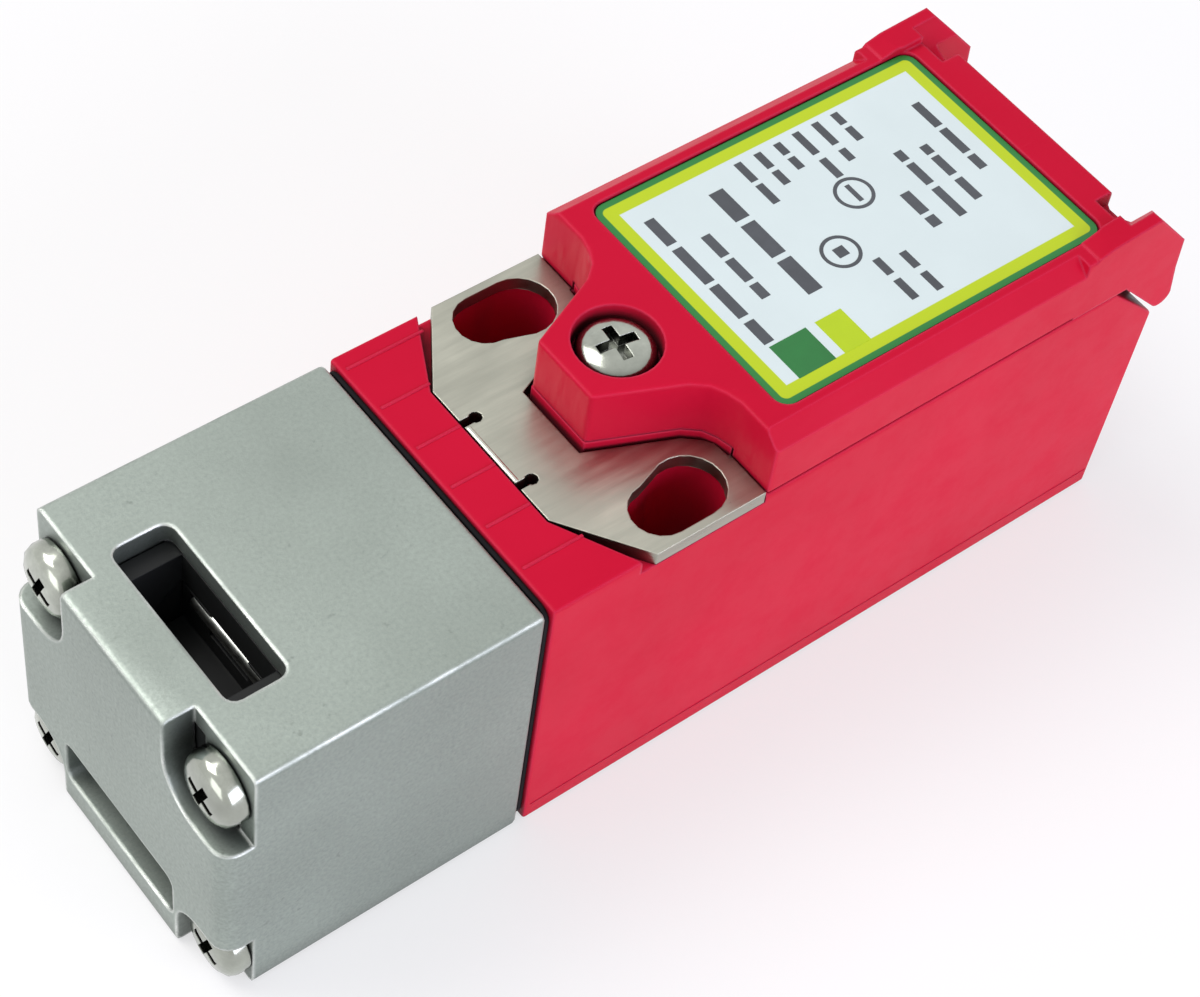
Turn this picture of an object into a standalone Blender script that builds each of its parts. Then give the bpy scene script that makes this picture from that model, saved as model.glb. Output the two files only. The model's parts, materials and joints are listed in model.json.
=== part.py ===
# Safety interlock switch: a die-cast key head on a moulded box with a hinged lid.
# Lengths are in metres. X runs from the head's front face to the cable end, Z is up from the base.
# The parts hang on an empty, so that the world's origin lies between the two fixing holes, on the base.

import math

import bmesh
import bpy
from mathutils import Matrix, Vector

MM = 0.001

# Gaps
SEAT = 0.15 * MM
TOUCH = 0.10 * MM
OVER = 2.0 * MM

# Whole switch
WIDTH = 25.0 * MM
HEIGHT = 25.0 * MM
HALF = WIDTH / 2

# Head
HEAD_LENGTH = 24.4 * MM
HEAD_CORNER = 1.5 * MM
HEAD_EDGE = 0.45 * MM
HEAD_WALL = 1.7 * MM
HEAD_COLUMN = 5.5 * MM
HEAD_COLUMN_HEIGHT = 6.3 * MM
SLOT_LENGTH = WIDTH - 2 * HEAD_COLUMN
FRONT_SLOT_LENGTH = SLOT_LENGTH - 0.8 * MM
SLOT_WIDTH = 4.5 * MM
SLOT_CORNER = 0.9 * MM
POCKET_DEPTH = 2.4 * MM
POCKET_RADIUS = 3.6 * MM
LOW_POCKET_RADIUS = 2.85 * MM

# Head screws
SCREW_INSET_Y = 3.1 * MM
SCREW_INSET_Z = 3.8 * MM
LOW_SCREW_INSET_Y = 2.7 * MM
LOW_SCREW_INSET_Z = 2.95 * MM
SCREW_HEAD_RADIUS = 2.7 * MM
SCREW_HEAD_HEIGHT = 1.9 * MM
SCREW_SHANK_RADIUS = 1.45 * MM
SCREW_LENGTH = HEAD_LENGTH + 3.6 * MM
SCREW_HOLE_RADIUS = 1.65 * MM
RECESS_DEPTH = 1.0 * MM
HEAD_RECESS_REACH = 1.35 * MM
HEAD_RECESS_HALF = 0.35 * MM
HEAD_RECESS_TURN = 25

# Key cam
CAM_RADIUS = min(HEIGHT / 2 - 3.2 * MM, HEAD_LENGTH / 2 - 2.9 * MM)
CAM_X = HEAD_LENGTH - CAM_RADIUS - 1.5 * MM
CAM_Z = HEIGHT / 2 - 0.3 * MM
CAM_HALF_WIDTH = SLOT_LENGTH / 2 - 1.6 * MM
CAM_HIGH = CAM_RADIUS - 0.2 * MM
CAM_TRAVEL = 45.0
PLUNGER_TRAVEL = 3.0 * MM
KEY_WAY_REACH = 7.15 * MM
CAM_POCKET_FLOOR = 4.2 * MM
CAM_GAP = 0.3 * MM
PIN_RADIUS = 0.7 * MM
PIN_SETBACK = 0.45 * MM
PIN_COVER = 0.2 * MM
PIN_HALF_LENGTH = CAM_HALF_WIDTH - 1.2 * MM
PIN_NOTCH = PIN_HALF_LENGTH - 2.0 * MM
AXLE_RADIUS = 2.0 * MM
AXLE_HALF_LENGTH = HALF - HEAD_WALL - 1.2 * MM
TOP_SLOT_FROM_FRONT = CAM_X - KEY_WAY_REACH
FRONT_SLOT_FROM_BASE = CAM_Z - KEY_WAY_REACH

# Gasket between head and box
GASKET = 0.5 * MM

# Box
BOX_FRONT = HEAD_LENGTH + GASKET
BOX_END_LOW = BOX_FRONT + 54.75 * MM
BOX_END_HIGH = BOX_END_LOW + 0.7 * MM
PARTING_Z = HEIGHT - 0.5 * MM
CHAMFER_X = BOX_END_HIGH - 5.2 * MM
CHAMFER_FOOT_Z = PARTING_Z - 5.0 * MM
LID_FRONT = BOX_FRONT + 17.7 * MM
CHAMBER_FRONT = LID_FRONT + 1.4 * MM
CHAMBER_REAR = CHAMFER_X - 1.75 * MM
CHAMBER_FLOOR = 2.0 * MM
CHAMBER_HALF_WIDTH = HALF - 2.1 * MM
GROOVE_WIDTH = 0.65 * MM
RIM_GROOVE_DEPTH = 0.7 * MM
CONDUIT_RADIUS = 7.7 * MM
CONDUIT_Z = HEIGHT / 2 - 2.0 * MM

# Fixing plate and holes
PLATE = 1.1 * MM
PLATE_FRONT = BOX_FRONT + 4.15 * MM
PLATE_NECK_HALF = HALF - 6.1 * MM
PLATE_SHOULDER = PLATE_FRONT + 4.25 * MM
FIXING_Y = HALF - 3.2 * MM
BIG_LOBE_X = BOX_FRONT + 13.55 * MM
BIG_LOBE_RADIUS = 2.6 * MM
SMALL_LOBE_X = BIG_LOBE_X - 2.7 * MM
SMALL_LOBE_RADIUS = 2.2 * MM
BODY_HOLE_CLEARANCE = 0.2 * MM
TAB_HALF = 2.7 * MM
TAB_DEPTH = 4.0 * MM
NOTCH_Y = PLATE_NECK_HALF - 3.3 * MM
NOTCH_WIDTH = 0.65 * MM
NOTCH_DEPTH = 1.1 * MM

# Lid
LID_RISE = 5.2 * MM
LID_TOP = HEIGHT + LID_RISE
LID_REAR = CHAMFER_X + 1.9 * MM
LID_WALL = 1.6 * MM
LID_SKIN = 1.2 * MM
LID_BEVEL_Y = 1.3 * MM
LID_BEVEL_Z = 1.2 * MM
LID_BEVEL_END = LID_REAR - 6.35 * MM
NOSE_FRONT = PLATE_FRONT + 5.55 * MM
NOSE_TIP_HALF = 2.9 * MM
NOSE_HALF = 5.5 * MM
NOSE_SHOULDER = NOSE_FRONT + 6.1 * MM
NOSE_FLARE = HALF - 3.9 * MM
NOSE_ISLAND_Z = HEIGHT + 0.5 * MM
NOSE_GAP = 0.5 * MM
LABEL_FRONT = LID_FRONT + 2.15 * MM
LABEL_REAR = LID_REAR - 3.1 * MM
LABEL_HALF_WIDTH = HALF - 2.1 * MM
LABEL_CORNER = 1.0 * MM
LABEL_RECESS = 0.55 * MM
LABEL = 0.25 * MM

# Lid screw
LID_SCREW_X = NOSE_FRONT + 4.45 * MM
LID_SCREW_RADIUS = 2.85 * MM
LID_SCREW_WELL = 3.15 * MM
LID_SCREW_WELL_DEPTH = 2.1 * MM
LID_SHANK_RADIUS = 1.3 * MM
LID_BORE_RADIUS = 1.75 * MM
LID_RECESS_REACH = 1.5 * MM
LID_RECESS_HALF = 0.38 * MM
LID_RECESS_TURN = -8
RETAINER = 0.6 * MM
RETAINER_RADIUS = 2.15 * MM
RETAINER_GAP = 0.15 * MM
INSERT_RADIUS = 2.6 * MM
INSERT_BASE = HEIGHT - 7.4 * MM
LID_SHANK_END = INSERT_BASE + 1.4 * MM

# Lid hinge
HINGE_X = BOX_END_HIGH + 0.5 * MM
HINGE_Z = PARTING_Z - 3.55 * MM
EAR_TIP = 0.95 * MM
EAR = 2.1 * MM
EAR_TOP = LID_TOP + 0.7 * MM
GROOVE_INNER = 4.4 * MM
GROOVE_DEPTH = 1.65 * MM
TRUNNION_RADIUS = 0.7 * MM
TRUNNION_LENGTH = 1.8 * MM
EYE_RADIUS = 0.8 * MM
EYE_OUTER = 1.5 * MM

# Contact block
BLOCK_FRONT = CHAMBER_FRONT + 0.3 * MM
BLOCK_REAR = BLOCK_FRONT + 19.7 * MM
BLOCK_HALF_WIDTH = CHAMBER_HALF_WIDTH - 0.8 * MM
BLOCK_BASE = CHAMBER_FLOOR + 0.3 * MM
BLOCK_TOP = PARTING_Z - 3.3 * MM
BARRIER_TOP = BLOCK_TOP + 4.8 * MM
BARRIER_HALF = 0.6 * MM
CONTACT_FRONT = BLOCK_FRONT + 0.9 * MM
CONTACT_REAR = CONTACT_FRONT + 13.2 * MM
CONTACT_HALF_WIDTH = BLOCK_HALF_WIDTH - 1.7 * MM
CONTACT_HALF_HEIGHT = 2.9 * MM
POLE_Y = CONTACT_HALF_WIDTH - 1.9 * MM
STRIP = 0.8 * MM
STRIP_HALF_WIDTH = 1.2 * MM
PAD_HALF_WIDTH = 2.3 * MM
TIP_THICKNESS = 0.4 * MM
TIP_ROOT = 0.2 * MM
TIP_RADIUS = 0.9 * MM
TERMINAL_FRONT_X = BLOCK_FRONT + 5.3 * MM
TERMINAL_REAR_X = TERMINAL_FRONT_X + 10.8 * MM
TERMINAL_HEAD_RADIUS = 2.4 * MM
TERMINAL_HEAD_HEIGHT = 1.7 * MM
CLAMP = 0.6 * MM
CLAMP_HALF = 2.4 * MM

# Plunger
PLUNGER_RADIUS = 2.5 * MM
PLUNGER_NOSE = 0.6 * MM
PLUNGER_BORE = 2.65 * MM
BAR_FRONT = CONTACT_FRONT + 3.6 * MM
BAR_REAR = BAR_FRONT + 9.4 * MM
BAR_HALF_WIDTH = 2.3 * MM
BAR_HALF_HEIGHT = 2.6 * MM
WINDOW_HALF_HEIGHT = 1.7 * MM
BRIDGE = 0.8 * MM
BRIDGE_HALF_HEIGHT = 1.4 * MM
BRIDGE_HALF_LENGTH = CONTACT_HALF_WIDTH - 0.7 * MM
BREAK_GAP = 3.2 * MM
MAKE_GAP = 0.2 * MM
BREAK_BRIDGE_X = BAR_FRONT + 1.0 * MM
MAKE_BRIDGE_X = BREAK_BRIDGE_X + 6.1 * MM
WINDOW = 3.2 * MM
SEAL_RADIUS = 4.1 * MM
SEAL = 1.8 * MM
SPRING_RADIUS = 1.7 * MM
SPRING_WIRE = 0.25 * MM
SPRING_END = BLOCK_REAR - 1.1 * MM
SPRING_TURNS = 6
BRIDGE_SPRING_RADIUS = 1.0 * MM
BRIDGE_SPRING_TURNS = 4

# Worked out from the sizes above
CAM_RATE = PLUNGER_TRAVEL / math.radians(CAM_TRAVEL)
PLUNGER_TIP_X = CAM_X + CAM_HIGH + CAM_GAP
LID_BASE = PARTING_Z + TOUCH
PLATE_BASE = HEIGHT - PLATE
LABEL_FLOOR = LID_TOP - LABEL_RECESS

SMOOTH_ANGLE = math.radians(35)
FLAT_ANGLE = math.radians(0.5)


def empty_scene():
    for obj in list(bpy.data.objects):
        bpy.data.objects.remove(obj)
    for name in ("safety_interlock_switch", "cutters"):
        bpy.context.scene.collection.children.link(bpy.data.collections.new(name))


def collection(name):
    return bpy.data.collections[name]


def pivot(name, location):
    """An empty on a joint's axis, given in the switch's own frame."""
    made = bpy.data.objects.new(name, None)
    made.empty_display_size = 0.005
    made.location = location
    collection("safety_interlock_switch").objects.link(made)
    return made


def put(obj, carrier):
    """Hangs an object on an empty and keeps it where the switch's frame says."""
    obj.parent = carrier
    if carrier.parent:
        obj.matrix_basis = Matrix.Translation(-carrier.location) @ obj.matrix_basis
    return obj


def add(name, mesh, carrier=None, helper=False):
    made = bpy.data.objects.new(name, mesh)
    mesh.shade_smooth()
    mesh.set_sharp_from_angle(angle=SMOOTH_ANGLE)
    if helper:
        made.hide_render = True
        made.display_type = "WIRE"
    collection("cutters" if helper else "safety_interlock_switch").objects.link(made)
    return put(made, carrier or bpy.data.objects["switch_frame"])


def paint(obj, colour, roughness, metallic=0.0):
    material = bpy.data.materials.new(obj.name)
    material.use_nodes = True
    shader = material.node_tree.nodes["Principled BSDF"]
    shader.inputs["Base Color"].default_value = (*colour, 1)
    shader.inputs["Roughness"].default_value = roughness
    shader.inputs["Metallic"].default_value = metallic
    obj.data.materials.clear()
    obj.data.materials.append(material)
    return obj


def mesh_of(bm, name):
    mesh = bpy.data.meshes.new(name)
    bm.to_mesh(mesh)
    bm.free()
    return mesh


def box(name, low, high, **options):
    low, high = Vector(low), Vector(high)
    bm = bmesh.new()
    bmesh.ops.create_cube(bm, size=1, matrix=Matrix.Diagonal((*(high - low), 1)))
    made = add(name, mesh_of(bm, name), **options)
    made.matrix_basis = made.matrix_basis @ Matrix.Translation((low + high) / 2)
    return made


TURN = {
    "x": Matrix(((0, 0, 1, 0), (1, 0, 0, 0), (0, 1, 0, 0), (0, 0, 0, 1))),
    "y": Matrix(((1, 0, 0, 0), (0, 0, -1, 0), (0, 1, 0, 0), (0, 0, 0, 1))),
    "z": Matrix.Identity(4),
}


def rod(name, axis, middle, radius, length, sides=24, **options):
    """A cylinder along an axis."""
    bm = bmesh.new()
    bmesh.ops.create_cone(
        bm, cap_ends=True, segments=sides, radius1=radius, radius2=radius, depth=length, matrix=TURN[axis]
    )
    made = add(name, mesh_of(bm, name), **options)
    made.matrix_basis = made.matrix_basis @ Matrix.Translation(Vector(middle))
    return made


def outline(name, points, axis, low, high, **options):
    """A flat outline made solid between two heights on an axis: (y, z) on x, (x, z) on y, (x, y) on z."""
    curve = bpy.data.curves.new(name, "CURVE")
    curve.dimensions = "2D"
    curve.fill_mode = "BOTH"
    curve.extrude = (high - low) / 2
    spline = curve.splines.new("POLY")
    spline.points.add(len(points) - 1)
    for point, (u, v) in zip(spline.points, points):
        point.co = (u, v, 0, 1)
    spline.use_cyclic_u = True
    drawn = bpy.data.objects.new(name, curve)
    bpy.context.scene.collection.objects.link(drawn)
    made = made_solid(drawn, name, **options)
    middle = (low + high) / 2
    along = {"x": (middle, 0, 0), "y": (0, middle, 0), "z": (0, 0, middle)}[axis]
    made.matrix_basis = made.matrix_basis @ Matrix.Translation(along) @ TURN[axis]
    return made


def made_solid(drawn, name, **options):
    """The closed mesh of a curve object, which it replaces."""
    graph = bpy.context.evaluated_depsgraph_get()
    mesh = bpy.data.meshes.new_from_object(drawn.evaluated_get(graph))
    bm = bmesh.new()
    bm.from_mesh(mesh)
    bmesh.ops.remove_doubles(bm, verts=bm.verts, dist=0.001 * MM)
    bmesh.ops.dissolve_limit(bm, angle_limit=FLAT_ANGLE, verts=bm.verts, edges=bm.edges)
    bmesh.ops.recalc_face_normals(bm, faces=bm.faces)
    bm.to_mesh(mesh)
    bm.free()
    bpy.data.objects.remove(drawn)
    return add(name, mesh, **options)


def turned(name, profile, axis, start, sides=24, **options):
    """A profile of (radius, height) turned round an axis, heights counted from the start, highest first."""
    bm = bmesh.new()
    corners = [bm.verts.new((radius, 0, height)) for radius, height in profile]
    for first, second in zip(corners, corners[1:]):
        bm.edges.new((first, second))
    if profile[0][0] > 0:
        bm.edges.new((corners[-1], corners[0]))
    made = add(name, mesh_of(bm, name), **options)
    screw = made.modifiers.new("turn", "SCREW")
    screw.steps = sides
    screw.render_steps = sides
    screw.use_merge_vertices = True
    screw.merge_threshold = 0.00001
    screw.use_smooth_shade = True
    made.matrix_basis = made.matrix_basis @ Matrix.Translation(Vector(start)) @ TURN[axis]
    return made


def coil(name, axis, start, radius, wire, length, turns, **options):
    """A compression spring along an axis with flat closed ends left plain."""
    steps = 10
    curve = bpy.data.curves.new(name, "CURVE")
    curve.dimensions = "3D"
    curve.bevel_depth = wire
    curve.bevel_resolution = 0
    curve.use_fill_caps = True
    spline = curve.splines.new("POLY")
    count = turns * steps + 1
    spline.points.add(count - 1)
    for index, point in enumerate(spline.points):
        angle = math.tau * index / steps
        height = wire + (length - 2 * wire) * index / (count - 1)
        point.co = (radius * math.cos(angle), radius * math.sin(angle), height, 1)
    drawn = bpy.data.objects.new(name, curve)
    bpy.context.scene.collection.objects.link(drawn)
    made = made_solid(drawn, name, **options)
    made.matrix_basis = made.matrix_basis @ Matrix.Translation(Vector(start)) @ TURN[axis]
    return made


def arc(centre, radius, first, last, steps=6):
    """Points on an arc, its angles in degrees."""
    angles = [math.radians(first + (last - first) * step / steps) for step in range(steps + 1)]
    return [(centre[0] + radius * math.cos(a), centre[1] + radius * math.sin(a)) for a in angles]


def rounded(low_u, high_u, low_v, high_v, radius, steps=4):
    """A rectangle with round corners."""
    return (
        arc((high_u - radius, low_v + radius), radius, -90, 0, steps)
        + arc((high_u - radius, high_v - radius), radius, 0, 90, steps)
        + arc((low_u + radius, high_v - radius), radius, 90, 180, steps)
        + arc((low_u + radius, low_v + radius), radius, 180, 270, steps)
    )


def mirrored(points):
    """A half outline at positive v, followed by its mirror image."""
    return points + [(u, -v) for u, v in reversed(points)]


def boolean(obj, operation, others):
    for other in others:
        modifier = obj.modifiers.new(operation.lower() + " " + other.name, "BOOLEAN")
        modifier.operation = operation
        modifier.solver = "EXACT"
        modifier.object = other
    return obj


def cut(obj, *others):
    return boolean(obj, "DIFFERENCE", others)


def join(obj, *others):
    return boolean(obj, "UNION", others)


def soften(obj, width, segments=2, angle=40):
    bevel = obj.modifiers.new("edges", "BEVEL")
    bevel.width = width
    bevel.segments = segments
    bevel.limit_method = "ANGLE"
    bevel.angle_limit = math.radians(angle)
    return obj


def helper(make, *arguments, **options):
    return make(*arguments, helper=True, **options)


SIDES = (("right", -1), ("left", 1))


# Head

def head_section(name, gap, low_x, high_x, **options):
    """The cross-shaped hollow of the head, drawn in by a gap: a tall block and a wide one, joined."""
    wide, narrow = HALF - HEAD_WALL - gap, HALF - HEAD_COLUMN - gap
    tall = box(name, (low_x, -narrow, HEAD_WALL + gap), (high_x, narrow, HEIGHT - HEAD_WALL - gap), **options)
    step = HEAD_COLUMN_HEIGHT + gap
    return join(tall, helper(box, name + "_wide", (low_x, -wide, step), (high_x, wide, HEIGHT - step)))


def screw_pocket(name, y, z, radius):
    """A corner pocket for a screw's head, open to the front and to both outer faces."""
    side, up = math.copysign(1, y), math.copysign(1, z - HEIGHT / 2)
    out, edge = HALF + OVER, HEIGHT / 2 + OVER
    points = [(out, edge), (abs(y) - radius, edge)]
    points += arc((abs(y), abs(z - HEIGHT / 2)), radius, 180, 270, 8) + [(out, abs(z - HEIGHT / 2) - radius)]
    points = [(side * v, HEIGHT / 2 + up * w) for v, w in points]
    return helper(outline, name, points, "x", -OVER, POCKET_DEPTH)


def head_housing():
    corner = HEAD_CORNER
    plan = arc((corner, HALF - corner), corner, 90, 180, 5)
    plan += arc((corner, -HALF + corner), corner, 180, 270, 5)
    plan += [(HEAD_LENGTH, -HALF), (HEAD_LENGTH, HALF)]
    housing = outline("head_housing", plan, "z", 0, HEIGHT)
    soften(housing, HEAD_EDGE)
    cut(housing, helper(head_section, "head_hollow", 0, POCKET_DEPTH, HEAD_LENGTH + OVER))
    half_slot, half_width = SLOT_LENGTH / 2, SLOT_WIDTH / 2
    top_slot = rounded(
        TOP_SLOT_FROM_FRONT - half_width, TOP_SLOT_FROM_FRONT + half_width, -half_slot, half_slot, SLOT_CORNER
    )
    cut(housing, helper(outline, "top_key_slot", top_slot, "z", HEIGHT - HEAD_WALL - OVER, HEIGHT + OVER))
    half_slot = FRONT_SLOT_LENGTH / 2
    front_slot = rounded(
        -half_slot, half_slot, FRONT_SLOT_FROM_BASE - half_width, FRONT_SLOT_FROM_BASE + half_width, SLOT_CORNER
    )
    cut(housing, helper(outline, "front_key_slot", front_slot, "x", -OVER, POCKET_DEPTH + OVER))
    for index, (y, z) in enumerate(head_screw_places()):
        radius = POCKET_RADIUS if z > HEIGHT / 2 else LOW_POCKET_RADIUS
        hole = helper(
            rod, f"screw_hole_{index}", "x", (HEAD_LENGTH / 2, y, z), SCREW_HOLE_RADIUS, HEAD_LENGTH + OVER,
            sides=16,
        )
        cut(housing, screw_pocket(f"screw_pocket_{index}", y, z, radius), hole)
    return paint(housing, (0.42, 0.45, 0.42), 0.38, 0.85)


def head_screw(number, y, z):
    """A pan-head screw with its head to the front."""
    seat = POCKET_DEPTH - SEAT
    radius, height = SCREW_HEAD_RADIUS, SCREW_HEAD_HEIGHT
    profile = [
        (0, SCREW_LENGTH), (SCREW_SHANK_RADIUS * 0.7, SCREW_LENGTH),
        (SCREW_SHANK_RADIUS, SCREW_LENGTH - 0.6 * MM), (SCREW_SHANK_RADIUS, 0), (radius, 0),
        (radius, -0.45 * height), (radius * 0.93, -0.7 * height), (radius * 0.75, -0.88 * height),
        (radius * 0.45, -0.98 * height), (0, -height),
    ]
    screw = turned(f"head_screw_{number}", profile, "x", (seat, y, z), sides=20)
    front = seat - height
    for index, turn in enumerate((0, 90)):
        arm = helper(
            box, f"head_screw_{number}_recess_{index}",
            (-RECESS_DEPTH, -HEAD_RECESS_HALF, -HEAD_RECESS_REACH),
            (RECESS_DEPTH, HEAD_RECESS_HALF, HEAD_RECESS_REACH),
        )
        spin = Matrix.Rotation(math.radians(turn + HEAD_RECESS_TURN), 4, "X")
        arm.matrix_basis = Matrix.Translation((front, y, z)) @ spin
        cut(screw, arm)
    return paint(screw, (0.55, 0.57, 0.53), 0.25, 1.0)


def drum(gap, half_width, name, **options):
    """The space that the cam turns in, open to the rear, or a piece of that form."""
    radius = CAM_RADIUS + gap
    side = [(HEAD_LENGTH + OVER, CAM_Z + radius)] + arc((CAM_X, CAM_Z), radius, 90, 270, 20)
    side += [(HEAD_LENGTH + OVER, CAM_Z - radius)]
    return outline(name, side, "y", -half_width, half_width, **options)


def cam_carrier():
    front = POCKET_DEPTH + SEAT
    carrier = head_section("cam_carrier", SEAT, front, HEAD_LENGTH - TOUCH)
    cut(carrier, drum(0.25 * MM, CAM_HALF_WIDTH + 0.2 * MM, "cam_space", helper=True))
    half_width = SLOT_WIDTH / 2
    cut(
        carrier,
        helper(
            box, "carrier_top_slot", (TOP_SLOT_FROM_FRONT - half_width, -CAM_HALF_WIDTH, CAM_Z),
            (TOP_SLOT_FROM_FRONT + half_width, CAM_HALF_WIDTH, HEIGHT),
        ),
        helper(
            box, "carrier_front_slot", (0, -CAM_HALF_WIDTH, FRONT_SLOT_FROM_BASE - half_width),
            (CAM_X, CAM_HALF_WIDTH, FRONT_SLOT_FROM_BASE + half_width),
        ),
        helper(
            rod, "carrier_axle_hole", "y", (CAM_X, 0, CAM_Z), AXLE_RADIUS + 0.05 * MM, 2 * HALF, sides=24
        ),
    )
    return paint(carrier, (0.015, 0.016, 0.017), 0.5)


def cam_axle():
    axle = rod("cam_axle", "y", (CAM_X, 0, CAM_Z), AXLE_RADIUS, 2 * AXLE_HALF_LENGTH, sides=24)
    return paint(axle, (0.6, 0.6, 0.6), 0.25, 1.0)


def cam_profile():
    """The cam's rim, counted in degrees from the rear: a dwell, then a fall that lets the plunger out."""
    fall, floor = [], []
    low = CAM_HIGH - PLUNGER_TRAVEL
    for step in range(13):
        angle = -CAM_TRAVEL * step / 12
        fall.append((angle, CAM_HIGH + CAM_RATE * math.radians(angle)))
    for angle in (-52, -60, -68):
        floor.append((angle, low))
    rim = [(-86 + 6 * step, CAM_RADIUS) for step in range(-40, 1)]
    rim = [(angle, radius) for angle, radius in rim if angle > -326]
    dwell = [(24, CAM_RADIUS), (18, CAM_HIGH), (12, CAM_HIGH), (6, CAM_HIGH)]
    points = dwell + fall + floor + list(reversed(rim))
    return [
        (CAM_X + radius * math.cos(math.radians(angle)), CAM_Z + radius * math.sin(math.radians(angle)))
        for angle, radius in points
    ]


def quarter_turn(obj, turns):
    """Turns a cutter about the cam's axis from the top key way towards the front one."""
    centre = Vector((CAM_X, 0, CAM_Z))
    turn = Matrix.Rotation(math.radians(-90 * turns), 4, "Y")
    obj.matrix_basis = Matrix.Translation(centre) @ turn @ Matrix.Translation(-centre) @ obj.matrix_basis
    return obj


def pin_place():
    """The engagement pin's place beside the top key way."""
    x = TOP_SLOT_FROM_FRONT + SLOT_WIDTH / 2 + PIN_SETBACK
    reach = CAM_RADIUS - PIN_RADIUS - PIN_COVER
    return x, CAM_Z + math.sqrt(reach**2 - (x - CAM_X) ** 2)


def cam_wheel(carrier):
    cam = outline("cam_wheel", cam_profile(), "y", -CAM_HALF_WIDTH, CAM_HALF_WIDTH)
    half_width = SLOT_WIDTH / 2
    pin_x, pin_z = pin_place()
    for turns, way in enumerate(("top", "front")):
        key_way = helper(
            box, f"{way}_key_way", (TOP_SLOT_FROM_FRONT - half_width - OVER, -HALF, CAM_Z + CAM_POCKET_FLOOR),
            (TOP_SLOT_FROM_FRONT + half_width, HALF, HEIGHT),
        )
        notch = helper(
            box, f"{way}_pin_notch", (TOP_SLOT_FROM_FRONT, -PIN_NOTCH, pin_z - 2 * PIN_RADIUS),
            (pin_x + 2 * PIN_RADIUS, PIN_NOTCH, HEIGHT),
        )
        hole = helper(
            rod, f"{way}_pin_hole", "y", (pin_x, 0, pin_z), PIN_RADIUS + 0.1 * MM,
            2 * PIN_HALF_LENGTH + 0.4 * MM, sides=12,
        )
        cut(cam, *(quarter_turn(each, turns) for each in (key_way, notch, hole)))
    bore = helper(rod, "cam_bore", "y", (CAM_X, 0, CAM_Z), AXLE_RADIUS + 0.08 * MM, 2 * HALF, sides=24)
    cut(cam, bore)
    put(cam, carrier)
    return paint(cam, (0.02, 0.02, 0.022), 0.45)


def cam_pin(number, carrier):
    pin_x, pin_z = pin_place()
    pin = rod(f"cam_pin_{number}", "y", (pin_x, 0, pin_z), PIN_RADIUS, 2 * PIN_HALF_LENGTH, sides=12)
    quarter_turn(pin, number - 1)
    put(pin, carrier)
    return paint(pin, (0.7, 0.7, 0.68), 0.2, 1.0)


def head_gasket():
    plan = rounded(-HALF + 0.3 * MM, HALF - 0.3 * MM, 0.3 * MM, HEIGHT - 0.3 * MM, 1.0 * MM)
    gasket = outline("head_gasket", plan, "x", HEAD_LENGTH + TOUCH, BOX_FRONT - TOUCH)
    middle = HEAD_LENGTH + GASKET / 2
    cut(gasket, helper(rod, "gasket_middle", "x", (middle, 0, CAM_Z), SEAL_RADIUS + 0.6 * MM, OVER))
    for index, (y, z) in enumerate(head_screw_places()):
        cut(gasket, helper(rod, f"gasket_hole_{index}", "x", (middle, y, z), SCREW_HOLE_RADIUS, OVER, sides=12))
    return paint(gasket, (0.02, 0.02, 0.02), 0.7)


def head_screw_places():
    upper = [(side * (HALF - SCREW_INSET_Y), HEIGHT - SCREW_INSET_Z) for _, side in SIDES]
    return upper + [(side * (HALF - LOW_SCREW_INSET_Y), LOW_SCREW_INSET_Z) for _, side in SIDES]


# Box

def nose_outline(grow, rear):
    """The lid's nose round its screw, seen from above, grown outwards by a margin."""
    tip, half = NOSE_TIP_HALF + 0.4 * grow, NOSE_HALF + 0.6 * grow
    front, shoulder = NOSE_FRONT - grow, NOSE_SHOULDER - 0.3 * grow
    points = [(front, tip), (shoulder, half)]
    points += [(shoulder + 1.1 * MM, half + 0.9 * MM)]
    points += [(LID_FRONT - 0.3 * MM - 0.3 * grow, NOSE_FLARE - 1.2 * MM)]
    points += [(LID_FRONT - 0.6 * grow, NOSE_FLARE + 0.2 * grow), (rear, NOSE_FLARE + 0.2 * grow)]
    return mirrored(points)


def plate_outline(grow):
    """The fixing plate seen from above, without its cut-outs."""
    front = PLATE_FRONT - grow
    return mirrored([
        (front, PLATE_NECK_HALF + 0.4 * grow), (PLATE_SHOULDER - grow, HALF + (OVER if grow else 0)),
        (LID_FRONT - SEAT + grow, HALF + (OVER if grow else 0)),
    ])


def fixing_hole(side, grow):
    """A keyhole of two lobes with straight outer flank, seen from above."""
    small, big = SMALL_LOBE_RADIUS + grow, BIG_LOBE_RADIUS + grow
    points = arc((BIG_LOBE_X, FIXING_Y), big, -118, 90, 12)
    points += arc((SMALL_LOBE_X, FIXING_Y + BIG_LOBE_RADIUS - SMALL_LOBE_RADIUS), small, 90, 270, 9)
    return [(x, side * y) for x, y in points]


def box_profile():
    return [
        (BOX_FRONT, 0), (BOX_END_LOW, 0), (BOX_END_HIGH, CHAMFER_FOOT_Z), (CHAMFER_X, PARTING_Z),
        (LID_FRONT, PARTING_Z), (LID_FRONT, HEIGHT), (BOX_FRONT, HEIGHT),
    ]


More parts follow.
